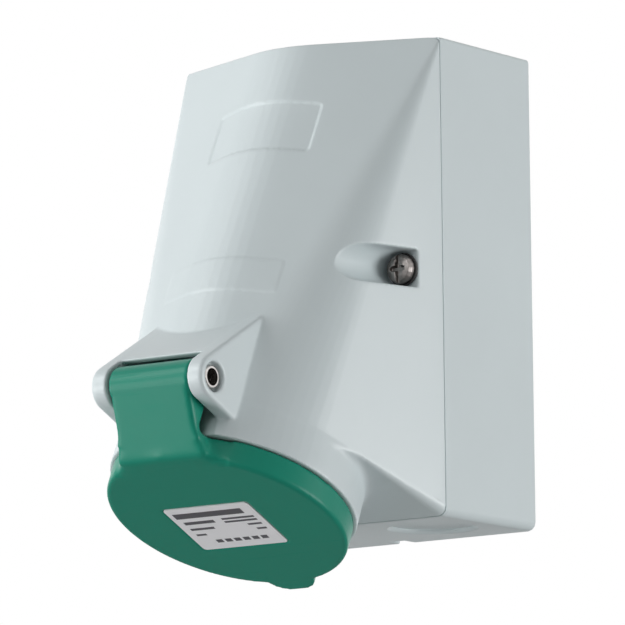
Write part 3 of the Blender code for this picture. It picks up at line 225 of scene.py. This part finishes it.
def noise(tree, place, scale, detail):
    """A noise texture on the given coordinates."""
    node = tree.nodes.new("ShaderNodeTexNoise")
    feed(tree, node.inputs["Scale"], scale)
    feed(tree, node.inputs["Detail"], detail)
    feed(tree, node.inputs["Vector"], place)
    return node


def stretched(tree, place, turn, scale):
    """Coordinates turned and stretched, so that a pattern on them runs one way."""
    node = tree.nodes.new("ShaderNodeMapping")
    node.inputs["Rotation"].default_value = turn
    node.inputs["Scale"].default_value = scale
    feed(tree, node.inputs["Vector"], place)
    return node.outputs["Vector"]


def moulded_skin():
    """Group that gives a colour, a roughness and a fine height for moulded plastic."""
    group = bpy.data.node_groups.new("moulded_skin", "ShaderNodeTree")
    for name, kind in SKIN_INPUTS:
        group.interface.new_socket(name, in_out="INPUT", socket_type=kind)
    for name, kind in SKIN_OUTPUTS:
        group.interface.new_socket(name, in_out="OUTPUT", socket_type=kind)
    given = group.nodes.new("NodeGroupInput").outputs
    made = group.nodes.new("NodeGroupOutput").inputs
    place = group.nodes.new("ShaderNodeTexCoord").outputs["Object"]

    cloud = noise(group, place, DRIFT_SCALE, DRIFT_DETAIL)
    centred = worked_out(group, "SUBTRACT", cloud.outputs["Fac"], NOISE_MIDDLE)
    drift = worked_out(group, "MULTIPLY", centred, given["Drift"])
    shade = group.nodes.new("ShaderNodeHueSaturation")
    feed(group, shade.inputs["Color"], given["Color"])
    feed(group, shade.inputs["Value"], worked_out(group, "ADD", drift, 1.0))
    feed(group, made["Color"], shade.outputs["Color"])

    rough = worked_out(group, "MULTIPLY_ADD", drift, ROUGHNESS_SHARE, given["Roughness"])
    streaks = stretched(group, place, SCRATCH_TURN, SCRATCH_SCALE)
    scratch = noise(group, streaks, 1.0, SCRATCH_DETAIL)
    fine = mapped(group, scratch.outputs["Fac"], SCRATCH_START, SCRATCH_FULL, 0.0, 1.0)
    feed(group, made["Roughness"], worked_out(group, "MULTIPLY_ADD", fine, given["Scuffs"], rough))

    grain = noise(group, place, given["Grain Size"], GRAIN_DETAIL)
    grain.inputs["Roughness"].default_value = GRAIN_ROUGHNESS
    feed(group, made["Height"], grain.outputs["Fac"])
    return group


SKIN = moulded_skin()
print("skin outputs:", [item.name for item in SKIN.interface.items_tree if item.in_out == "OUTPUT"])

# %% [markdown]
# The grey of box and hood is satin and nearly even, and the green of the lid is deep, with a weaker
# reflection. The insert and the rubber are dark and dull, and the plate is pale and smooth. Each material
# places the same group with its own values. The green's weak reflection is the same all over, so it is
# set on the shader itself.

# %% Moulded plastics
SCUFFS = 0.10  # how much rougher a fine scratch is than the skin round it
FINE_GRAIN = 2600.0
RUBBER_GRAIN = 1800.0
GRAIN_HEIGHT = 0.00005
GREEN_REFLECTION = 0.2


def moulded(name, color, roughness, drift, grain, strength):
    """A plastic with the moulded skin."""
    made = bpy.data.materials.new(name)
    made.use_nodes = True
    tree = made.node_tree
    shader = tree.nodes["Principled BSDF"]
    skin = tree.nodes.new("ShaderNodeGroup")
    skin.node_tree = SKIN
    skin.inputs["Color"].default_value = (*color, 1)
    skin.inputs["Drift"].default_value = drift
    skin.inputs["Roughness"].default_value = roughness
    skin.inputs["Scuffs"].default_value = SCUFFS
    skin.inputs["Grain Size"].default_value = grain
    bump = tree.nodes.new("ShaderNodeBump")
    bump.inputs["Strength"].default_value = strength
    bump.inputs["Distance"].default_value = GRAIN_HEIGHT
    feed(tree, bump.inputs["Height"], skin.outputs["Height"])
    feed(tree, shader.inputs["Base Color"], skin.outputs["Color"])
    feed(tree, shader.inputs["Roughness"], skin.outputs["Roughness"])
    feed(tree, shader.inputs["Normal"], bump.outputs["Normal"])
    return made


# name, colour, roughness, drift, grain size, strength of the grain
GREY = moulded("grey_plastic", (0.655, 0.73, 0.745), 0.36, 0.06, FINE_GRAIN, 0.25)
GREEN = moulded("green_plastic", (0.007, 0.241, 0.162), 0.34, 0.10, FINE_GRAIN, 0.20)
GREEN.node_tree.nodes["Principled BSDF"].inputs["Specular IOR Level"].default_value = GREEN_REFLECTION
DARK = moulded("dark_insert_plastic", (0.045, 0.048, 0.052), 0.50, 0.10, FINE_GRAIN, 0.30)
RUBBER = moulded("black_rubber", (0.018, 0.018, 0.018), 0.70, 0.20, RUBBER_GRAIN, 0.40)
PLATE = moulded("pale_plate", (0.90, 0.90, 0.92), 0.35, 0.05, FINE_GRAIN, 0.10)
print("plastics:", [made.name for made in (GREY, GREEN, DARK, RUBBER, PLATE)])

# %% [markdown]
# The screws and the spring are plated steel in a darker colour, which paints in shade: the dark reflections
# seen in their heads. The hinge pin is the same plated steel in a lighter copy, a painted highlight for the
# bright glints on its end. The contacts are turned brass. One function makes all three: noise squeezed along
# the object's depth leaves fine marks in the roughness, as turning does, and a coarser noise mixes a dark and
# a light tone of the colour, as patches of tarnish do.

# %% Metals
TURNING_SCALE = (1200.0, 3600.0, 1200.0)
TURNING_DETAIL = 3.0
SMOOTHER = 0.08  # how far the marks take the roughness down
ROUGHER = 0.12  # and up
TARNISH_SCALE = 650.0
TARNISH_DETAIL = 2.0
TARNISH_DARK = 0.55
TARNISH_LIGHT = 1.3
MIX_SHARE = 0  # a Mix node's sockets by number, because those for colours and for numbers share names
MIX_FIRST = 6
MIX_SECOND = 7
MIX_RESULT = 2


def metal(name, color, roughness):
    """Plated or turned metal with fine turning marks and patches of tarnish."""
    made = bpy.data.materials.new(name)
    made.use_nodes = True
    tree = made.node_tree
    shader = tree.nodes["Principled BSDF"]
    shader.inputs["Metallic"].default_value = 1.0
    place = tree.nodes.new("ShaderNodeTexCoord").outputs["Object"]
    marks = noise(tree, stretched(tree, place, (0, 0, 0), TURNING_SCALE), 1.0, TURNING_DETAIL)
    spread = mapped(tree, marks.outputs["Fac"], 0.0, 1.0, roughness - SMOOTHER, roughness + ROUGHER)
    feed(tree, shader.inputs["Roughness"], spread)
    tarnish = noise(tree, place, TARNISH_SCALE, TARNISH_DETAIL)
    shade = tree.nodes.new("ShaderNodeMix")
    shade.data_type = "RGBA"
    shade.inputs[MIX_FIRST].default_value = (*[part * TARNISH_DARK for part in color], 1)
    shade.inputs[MIX_SECOND].default_value = (*[min(part * TARNISH_LIGHT, 1) for part in color], 1)
    feed(tree, shade.inputs[MIX_SHARE], tarnish.outputs["Fac"])
    feed(tree, shader.inputs["Base Color"], shade.outputs[MIX_RESULT])
    return made


# Two copies of one plated steel: the darker one paints shade into the screws, the lighter one paints
# highlight into the pin.
SHADE_DARKENED_STEEL = metal("plated_steel", (0.27, 0.25, 0.24), 0.36)
HIGHLIGHT_LIGHTENED_STEEL = metal("highlight_lightened_steel", (0.62, 0.60, 0.58), 0.22)
BRASS = metal("contact_brass", (0.75, 0.58, 0.28), 0.30)
print("metals:", [made.name for made in (SHADE_DARKENED_STEEL, HIGHLIGHT_LIGHTENED_STEEL, BRASS)])

# %% [markdown]
# The inner parts, the seals, the plate and the pin have the right shape in the CAD model, so these nodes
# stay and only get a finish in their material slots. A node that a finer piece stands for later gets one
# too, and the piece then takes the same finish by the node's name.

# %% Give every CAD node its finish
FINISH = {
    "grey_plastic": GREY, "green_plastic": GREEN, "dark_insert_plastic": DARK, "black_rubber": RUBBER,
    "plated_steel": SHADE_DARKENED_STEEL, "contact_brass": BRASS, "pale_plate": PLATE,
}
SLOT_OF = {
    "front_housing": "grey_plastic", "rear_housing": "grey_plastic", "lid": "green_plastic",
    "contact_carrier": "dark_insert_plastic", "terminal_block": "dark_insert_plastic",
    "housing_seal": "black_rubber", "carrier_seal": "black_rubber", "lid_seal": "black_rubber",
    "cover_screw_seal_left": "black_rubber", "cover_screw_seal_right": "black_rubber",
    "rating_plate": "pale_plate",
}


def slot_of(node_name):
    """The material slot of a CAD node: the contacts are brass, and the screws, pin and spring steel."""
    metal_slot = "contact_brass" if node_name.startswith("contact_") else "plated_steel"
    return SLOT_OF.get(node_name, metal_slot)


for name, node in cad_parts.items():
    node.data.materials.clear()
    # The hinge pin gets the lighter copy of plated steel, a painted highlight.
    node.data.materials.append(HIGHLIGHT_LIGHTENED_STEEL if name == "hinge_pin" else FINISH[slot_of(name)])
    print(name, "->", slot_of(name))

# %% [markdown]
# A moulded part has no knife edges: the tool's corners are rounded by half a millimetre or more, and
# those small radii catch the light as fine bright lines. The CAD solids leave them out, so each visible
# moulding is made again from its own solid. Every such piece starts and ends alike: the loose triangles
# of a node are merged, and the finished mesh becomes an object that rides with a body and stands for
# the node.

# %% From a CAD node to a finished piece
WELD = 1e-6  # points closer than this become one


def merged_copy(node_name):
    """The node's solid as one joined mesh, because a CAD node is loose triangles."""
    shape = bmesh.new()
    shape.from_mesh(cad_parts[node_name].data)
    bmesh.ops.remove_doubles(shape, verts=shape.verts, dist=WELD)
    return shape


def new_piece(name, mesh, body, material):
    """An object for a mesh, with its material, that rides with a body."""
    mesh.materials.append(material)
    made = in_scene(name, mesh)
    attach(made, body)
    return made


def finished_piece(name, mesh, body, node_name):
    """A smooth piece with the node's finish that stands for the node."""
    mesh.shade_smooth()
    slot = slot_of(node_name)
    made = new_piece(name, mesh, body, FINISH[slot])
    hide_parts(node_name)
    return made


def open_edges(shape):
    """How many edges don't have a face on both sides."""
    return sum(not edge.is_manifold for edge in shape.edges)


print("loose triangles in the hood's node:", len(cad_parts["front_housing"].data.polygons))

# %% [markdown]
# Where box and hood meet, both walls turn inwards by a hair, and on the real socket that makes one wide
# soft groove with a dark line in it. Points within a millimetre and a half of the joint move in, the
# more the closer they are. Long plain walls have no points there, so cuts across them come first.

# %% Soft groove at the joint
BOX_HALF_WIDTH = 0.04915
BOX_HALF_HEIGHT = 0.075
JOINT = 0.049  # distance of the joint from the wall
JOINT_HALF_GAP = 0.00015
EASE_REACH = 0.0015
EASE_DEPTH = 0.00012
EASE_STEPS = (0.0004, 0.0009, 0.0015)
OUTER_SKIN = 0.0016  # only points this close to the outside move


def cut_at_joint(shape):
    """Rings of points close to the joint, for walls that have none there to bend."""
    for step in EASE_STEPS:
        for side in (-1, 1):
            place = Vector((0, side * (JOINT_HALF_GAP + step) - JOINT, 0))
            bmesh.ops.bisect_plane(shape, geom=shape.verts[:] + shape.edges[:] + shape.faces[:],
                                   dist=WELD, plane_co=place, plane_no=(0, 1, 0))


def ease_joint(shape):
    """Bend the walls a hair inwards towards the joint, so that box and hood meet in a wide soft round."""
    moved = 0
    for vert in shape.verts:
        away = abs(vert.co.y + JOINT) - JOINT_HALF_GAP
        if away > EASE_REACH:
            continue
        inward = EASE_DEPTH * (1 - max(away, 0) / EASE_REACH) ** 2
        outside_x = abs(vert.co.x) > BOX_HALF_WIDTH - OUTER_SKIN
        outside_z = abs(vert.co.z) > BOX_HALF_HEIGHT - OUTER_SKIN
        vert.co.x -= math.copysign(inward, vert.co.x) * outside_x
        vert.co.z -= math.copysign(inward, vert.co.z) * outside_z
        moved += outside_x or outside_z
    print("eased", moved, "points at the joint")


print("joint", JOINT, "m from the wall, groove", 2 * EASE_REACH, "m wide")

# %% [markdown]
# The box has long straight edges, so a bevel is enough for it: flat faces are joined first, and then
# every edge that is sharp, long and has room on both faces gets a round of half a millimetre. The rim at
# the joint keeps its edge, and weighted normals keep the flat faces flat beside their rounds.

# %% Box with rounded edges
FLAT_ANGLE = math.radians(0.5)
SHARP_ANGLE = math.radians(35)
BOX_ROUND = 0.0005
ROUND_SEGMENTS = 3
ROOM_FOR_ROUND = 2.5  # a face beside a round is at least this many rounds wide
ON_JOINT_MARGIN = 0.00002


def reach_from(edge, face):
    """How far a face reaches away from the line of one of its edges."""
    start = edge.verts[0].co
    along = (edge.verts[1].co - start).normalized()
    return max((vert.co - start - (vert.co - start).dot(along) * along).length for vert in face.verts)


def on_joint(vert):
    """Whether a point lies on the rim where the box and the hood meet."""
    return abs(vert.co.y + JOINT) < JOINT_HALF_GAP + ON_JOINT_MARGIN


def takes_round(edge, width):
    """Whether an edge is sharp, long enough, and has room for a round of this width on both faces."""
    if all(on_joint(vert) for vert in edge.verts):
        return False
    if not edge.is_manifold or edge.calc_face_angle() < SHARP_ANGLE or edge.calc_length() < width:
        return False
    return min(reach_from(edge, face) for face in edge.link_faces) > ROOM_FOR_ROUND * width


shape = merged_copy("rear_housing")
bmesh.ops.dissolve_limit(shape, angle_limit=FLAT_ANGLE, verts=shape.verts, edges=shape.edges)
cut_at_joint(shape)
ease_joint(shape)
sharp = [edge for edge in shape.edges if takes_round(edge, BOX_ROUND)]
bmesh.ops.bevel(shape, geom=sharp, offset=BOX_ROUND, offset_type="OFFSET", segments=ROUND_SEGMENTS,
                profile=0.5, affect="EDGES", material=-1, clamp_overlap=False)
box_mesh = bpy.data.meshes.new("box_moulding")
shape.to_mesh(box_mesh)
shape.free()
box = finished_piece("box_moulding", box_mesh, "housing", "rear_housing")
box_mesh.set_sharp_from_angle(angle=SHARP_ANGLE)
weighted = box.modifiers.new("flat_faces_lead", "WEIGHTED_NORMAL")
weighted.keep_sharp = True
print("box_moulding", len(box_mesh.polygons), "faces,", len(sharp), "edges rounded")

# %% [markdown]
# Between box and hood lies a tongue of the box's own rim. On the real socket it closes the joint, so that
# only a hairline shows. It is a thin ring: one rounded rectangle, inset once, without its middle, and
# drawn out to the width of the gap.

# %% Tongue in the joint
TONGUE_INSET = 0.00014
TONGUE_WALL = 0.0009
LOW_CORNER = 0.0028
HIGH_CORNER = 0.0012
CORNER_SEGMENTS = 6
AT_END = 0.999  # share of the half height past which a corner counts as a top or bottom one


def outline_face(shape, half_width, half_height, low_corner, high_corner, place):
    """One flat face in the shape of a rounded rectangle, standing upright at a place."""
    bmesh.ops.create_grid(shape, x_segments=1, y_segments=1, size=1,
                          matrix=Matrix.Rotation(math.pi / 2, 4, "X"))
    for vert in shape.verts:
        vert.co.x *= half_width
        vert.co.z *= half_height
    for level, radius in ((-1, low_corner), (1, high_corner)):
        corners = [vert for vert in shape.verts if vert.co.z * level > half_height * AT_END]
        bmesh.ops.bevel(shape, geom=corners, offset=radius, offset_type="OFFSET",
                        segments=CORNER_SEGMENTS, profile=0.5, affect="VERTICES", material=-1)
    bmesh.ops.translate(shape, verts=shape.verts, vec=place)


shape = bmesh.new()
outline_face(shape, BOX_HALF_WIDTH - TONGUE_INSET, BOX_HALF_HEIGHT - TONGUE_INSET, LOW_CORNER,
             HIGH_CORNER, (0, -JOINT - JOINT_HALF_GAP, 0))
middle = shape.faces[:]
bmesh.ops.inset_region(shape, faces=middle, thickness=TONGUE_WALL, use_even_offset=True,
                       use_boundary=True)
bmesh.ops.delete(shape, geom=middle, context="FACES_ONLY")
drawn = bmesh.ops.extrude_face_region(shape, geom=shape.faces[:])
bmesh.ops.translate(shape, verts=[part for part in drawn["geom"] if isinstance(part, bmesh.types.BMVert)],
                    vec=(0, 2 * JOINT_HALF_GAP, 0))
bmesh.ops.recalc_face_normals(shape, faces=shape.faces)
tongue_mesh = bpy.data.meshes.new("joint_tongue")
shape.to_mesh(tongue_mesh)
print("tongue:", len(tongue_mesh.polygons), "faces, open edges", open_edges(shape))
shape.free()
new_piece("joint_tongue", tongue_mesh, "housing", GREY)

# %% [markdown]
# The hood and the lid have no such plain edges: the cone runs into the collar, the ears grow out of both,
# and the lid's arm runs into its disc. Remeshing such a solid with small voxels and then letting the
# points relax rounds every edge and fills every corner at once, as the flow of the plastic does. Decimate
# then thins the flat parts first, and the small faces that draw the edges stay. The hood comes first: its
# large plain faces let four fifths of the triangles go.

# %% Hood, remeshed with soft edges
RELAX = 0.5  # how far a point moves towards the middle of its neighbours in one round
HOOD_VOXEL = 0.00045
HOOD_ROUNDS = 2
HOOD_KEEP = 0.20


def remeshed(node_name, name, voxel, rounds, keep):
    """The node's solid as a fine even mesh with soft edges, thinned to a share of its faces."""
    shape = merged_copy(node_name)
    rough = bpy.data.meshes.new(name + "_rough")
    shape.to_mesh(rough)
    shape.free()
    holder = in_scene(name + "_rough", rough)
    voxels = holder.modifiers.new("voxels", "REMESH")
    voxels.mode = "VOXEL"
    voxels.voxel_size = voxel
    relax = holder.modifiers.new("relax", "SMOOTH")
    relax.factor = RELAX
    relax.iterations = rounds
    fewer = holder.modifiers.new("fewer_faces", "DECIMATE")
    fewer.ratio = keep
    ready = holder.evaluated_get(bpy.context.evaluated_depsgraph_get())
    mesh = bpy.data.meshes.new_from_object(ready)
    mesh.name = name
    bpy.data.objects.remove(holder)
    bpy.data.meshes.remove(rough)
    return mesh


hood_mesh = remeshed("front_housing", "hood_moulding", HOOD_VOXEL, HOOD_ROUNDS, HOOD_KEEP)
print("hood:", len(hood_mesh.polygons), "faces")

# %% [markdown]
# The remeshed hood has points everywhere, so its side of the groove at the joint needs no cuts. The same
# few lines that open a mesh, change its points and write it back serve the lid and the screws as well.

# %% Hood, its side of the groove
def reshaped(mesh, *changes):
    """The mesh after its points have been moved by each change in turn."""
    shape = bmesh.new()
    shape.from_mesh(mesh)
    for change in changes:
        change(shape)
    shape.to_mesh(mesh)
    shape.free()
    return mesh


finished_piece("hood_moulding", reshaped(hood_mesh, ease_joint), "housing", "front_housing")

# %% [markdown]
# The lid is remeshed the same way. Its rim is a polygon of 48 sides in the CAD model, so the flats are
# pushed out to the true circle. That is worked out in the socket's own frame, which is tilted and has its
# origin at the middle of the collar's rim. The arm stands on the rim at one place, and is left as it is.

# %% Lid, remeshed with a round rim
LID_VOXEL = 0.00045
LID_ROUNDS = 3
LID_KEEP = 0.90
TILT = math.radians(24.8)
RIM = Vector((0, -0.0930, -0.0696))
SOCKET = Matrix.Translation(RIM) @ Matrix.Rotation(-TILT, 4, "X")
TO_SOCKET = SOCKET.inverted()
RIM_SIDES = 48
RIM_IN = 0.0335
RIM_OUT = 0.0383
ARM_HALF = 0.0150


def true_rim(shape):
    """Push the flats of the lid's many-sided rim out to the circle through its corners."""
    step = 2 * math.pi / RIM_SIDES
    for vert in shape.verts:
        spot = TO_SOCKET @ vert.co
        radius = math.hypot(spot.x, spot.y)
        if RIM_IN < radius < RIM_OUT and not (spot.y < -RIM_IN and abs(spot.x) < ARM_HALF):
            off = math.atan2(spot.y, spot.x) % step - step / 2
            push = math.cos(off) / math.cos(step / 2)
            vert.co = SOCKET @ Vector((spot.x * push, spot.y * push, spot.z))


lid_mesh = remeshed("lid", "lid_moulding", LID_VOXEL, LID_ROUNDS, LID_KEEP)
reshaped(lid_mesh, true_rim)
print("lid:", len(lid_mesh.polygons), "faces")

# %% [markdown]
# The lid's arm spreads sideways at its foot, where it runs into the disc, so points there move out by a
# smooth step. Then more rounds of relaxing, only near the arm, widen its edges and the fillets at its
# foot, which are much softer on the real lid than the other edges.

# %% Lid, its arm
FLARE = 0.0022
FLARE_START = 0.006
FLARE_END = 0.0205
FOOT_TOP = 0.0005
FOOT_LOW = 0.0080
FOOT_IN = 0.0315
FOOT_OUT = 0.0350
SOFT_PLACES = (
    # lowest corner, highest corner, rounds of relaxing
    ((-0.0180, -0.0530, -0.0080), (0.0180, -0.0380, 0.0080), 16),  # the arm's edges
    ((-0.0215, -0.0400, -0.0100), (0.0215, -0.0300, 0.0020), 40),  # the arm's foot
)


def rise(value, low, high):
    """A smooth step from 0 at low to 1 at high."""
    part = min(max((value - low) / (high - low), 0), 1)
    return part * part * (3 - 2 * part)


def flare_foot(shape):
    """Widen the arm's foot to both sides, where the arm spreads into the disc."""
    moved = 0
    for vert in shape.verts:
        spot = TO_SOCKET @ vert.co
        spread = rise(-spot.z, FOOT_TOP, FOOT_LOW) * rise(-spot.y, FOOT_IN, FOOT_OUT)
        spread *= rise(abs(spot.x), FLARE_START, ARM_HALF) * (1 - rise(abs(spot.x), ARM_HALF, FLARE_END))
        if spread > 0:
            spot.x += math.copysign(FLARE * spread, spot.x)
            vert.co = SOCKET @ spot
            moved += 1
    print("flared", moved, "points at the arm's foot")


def soften_arm(shape):
    """Relax the points along the arm's edges, and then those at its foot, many more times."""
    for low, high, rounds in SOFT_PLACES:
        near = [vert for vert in shape.verts
                if all(a < b < c for a, b, c in zip(low, TO_SOCKET @ vert.co, high))]
        for _ in range(rounds):
            bmesh.ops.smooth_vert(shape, verts=near, factor=RELAX, use_axis_x=True, use_axis_y=True,
                                  use_axis_z=True)
        print("relaxed", len(near), "points", rounds, "times")


finished_piece("lid_moulding", reshaped(lid_mesh, flare_foot, soften_arm), "lid", "lid")

# %% [markdown]
# The cover screws are plated, with a broad cross recess for a driver. The CAD solid has a plain narrow
# cross, so the remeshed head gets the recess pressed in: points inside the cross sink, deepest in the
# middle, where a driver's point sits, and less towards the ends of the four arms.

# %% Cover screws
SCREW_VOXEL = 0.00011
SCREW_ROUNDS = 1
SCREW_KEEP = 0.60
CROSS_REACH = 0.0028
CROSS_HALF_WIDTH = 0.0007
CROSS_WIDE = 1.25  # the arms start this much wider in the middle
CROSS_TAPER = 0.6  # and lose this much towards their ends
CROSS_SOFT = 0.00016
CROSS_DEPTH = 0.0017
CROSS_FLOOR = 0.35  # share of the reach over which the recess has its full depth
HEAD_FRONT = 0.0012  # points this close behind the head's top lie on its dome
DOME_RADIUS = 0.0052


def sink_cross(shape):
    """Press a broad cross with sloping ends into a screw's head, which faces the front."""
    low = Vector([min(vert.co[axis] for vert in shape.verts) for axis in range(3)])
    high = Vector([max(vert.co[axis] for vert in shape.verts) for axis in range(3)])
    middle = (low + high) / 2
    sunk = 0
    for vert in shape.verts:
        away = vert.co - middle
        along = max(abs(away.x), abs(away.z))
        beside = min(abs(away.x), abs(away.z))
        if along > CROSS_REACH or vert.co.y > low.y + HEAD_FRONT:
            continue
        width = CROSS_HALF_WIDTH * (CROSS_WIDE - CROSS_TAPER * along / CROSS_REACH)
        inside = 1 - rise(beside, width - CROSS_SOFT, width + CROSS_SOFT)
        depth = CROSS_DEPTH * (1 - rise(along, CROSS_FLOOR * CROSS_REACH, CROSS_REACH))
        dome = (along ** 2 + beside ** 2) / (2 * DOME_RADIUS)
        if inside > 0:
            vert.co.y = max(vert.co.y, low.y + dome + inside * depth)
            sunk += 1
    print("sank", sunk, "points of the cross")


for side in ("right", "left"):
    node_name = "cover_screw_" + side
    screw_mesh = remeshed(node_name, "screw_" + side, SCREW_VOXEL, SCREW_ROUNDS, SCREW_KEEP)
    finished_piece("screw_" + side, reshaped(screw_mesh, sink_cross), "housing", node_name)
    print("screw", side, len(screw_mesh.polygons), "faces")

# %% [markdown]
# A torsion spring closes the lid. One of its legs leans on the inside of the lid's arm and has to swing
# with it, while the coil and the other leg stay by the collar. So the wire is parted close to the coil:
# the short straight leg becomes a piece that rides with the lid. The cut is made with a plane across the
# leg only, and both ends are closed.

# %% Spring coil and spring leg
HINGE_PLACE = (0, -0.0468, 0.0130)  # in the socket's frame
HINGE = SOCKET @ Matrix.Translation(HINGE_PLACE)
TO_HINGE = HINGE.inverted()
LEG_WAY = Vector((0, 0.648, -0.762))  # along the leg, away from the coil
LEG_SIDE = Vector((0, -0.762, -0.648))  # from the hinge's axis out to the leg
LEG_START = 0.00206  # how far past its touching point the leg is cut
LEG_X = -0.0041
LEG_OUT = 0.0030
SPRING_SHARP_ANGLE = math.radians(70)


def leg_faces(shape):
    """The faces of the leg that leans on the arm."""
    found = []
    for face in shape.faces:
        spots = [TO_HINGE @ vert.co for vert in face.verts]
        if all(spot.x < LEG_X and spot.dot(LEG_SIDE) > LEG_OUT for spot in spots):
            found.append(face)
    return found


def spring_part(name, body, is_leg):
    """The leg alone, or the spring without it, closed where the wire is cut."""
    shape = merged_copy("lid_spring")
    near = leg_faces(shape)
    rims = list({part for face in near for part in (*face.verts, *face.edges)})
    bmesh.ops.bisect_plane(shape, geom=near + rims, dist=WELD,
                           plane_co=HINGE @ (LEG_START * LEG_WAY), plane_no=HINGE.to_3x3() @ LEG_WAY)
    leg = [face for face in leg_faces(shape)
           if (TO_HINGE @ face.calc_center_median()).dot(LEG_WAY) > LEG_START]
    rest = [face for face in shape.faces if face not in set(leg)]
    bmesh.ops.delete(shape, geom=rest if is_leg else leg, context="FACES")
    bmesh.ops.holes_fill(shape, edges=[edge for edge in shape.edges if edge.is_boundary])
    bmesh.ops.recalc_face_normals(shape, faces=shape.faces)
    mesh = bpy.data.meshes.new(name)
    shape.to_mesh(mesh)
    print(name, len(shape.faces), "faces, open edges", open_edges(shape))
    shape.free()
    finished_piece(name, mesh, body, "lid_spring")
    mesh.set_sharp_from_angle(angle=SPRING_SHARP_ANGLE)


spring_part("spring_coil", "housing", False)
spring_part("spring_leg", "lid", True)

# %% [markdown]
# The plate on the lid stays free of any wording. It gets a thin printed frame of bars instead, as neutral
# as a blank form: each bar is a flat block, a few hundredths of a millimetre proud of the plate.

# %% Printed bars on the plate
PLATE_MIDDLE = Vector((-0.0020, 0.0024, 0))
PLATE_FACE = -0.0085
INK_HEIGHT = 0.00004
MILLIMETRE = 0.001
BARS = (
    # left, right, low and high edge in millimetres from the plate's middle, high towards the hinge
    (-14.2, 11.6, 6.3, 9.2),
    (-13.2, -1.8, 2.7, 4.3),
    (1.4, 13.6, 3.7, 4.7),
    (1.4, 13.6, 1.9, 2.9),
    (-13.2, -4.2, -0.7, 0.5),
    (8.6, 13.8, -0.5, 0.5),
    (-13.2, -9.4, -3.9, -2.9),
    (10.2, 13.8, -3.3, -2.3),
    (-8.4, -6.0, -8.6, -6.8),
    (-5.0, -2.6, -8.6, -6.8),
    (-1.6, 0.8, -8.6, -6.8),
    (1.8, 4.2, -8.6, -6.8),
    (5.2, 7.6, -8.6, -6.8),
    (8.6, 11.0, -8.6, -6.8),
)

shape = bmesh.new()
for left, right, low, high in BARS:
    across = (left + right) / 2 * MILLIMETRE
    up = (low + high) / 2 * MILLIMETRE
    place = Matrix.Translation(PLATE_MIDDLE + Vector((across, -up, PLATE_FACE)))
    size = Matrix.Diagonal(((right - left) * MILLIMETRE, (high - low) * MILLIMETRE, INK_HEIGHT, 1))
    bmesh.ops.create_cube(shape, size=1, matrix=SOCKET @ place @ size)
ink_mesh = bpy.data.meshes.new("plate_print")
shape.to_mesh(ink_mesh)
shape.free()
INK = moulded("plate_ink", (0.09, 0.09, 0.10), 0.45, 0.10, FINE_GRAIN, 0.10)
new_piece("plate_print", ink_mesh, "lid", INK)
print("bars on the plate:", len(BARS))

# %% [markdown]

print("dressing done")
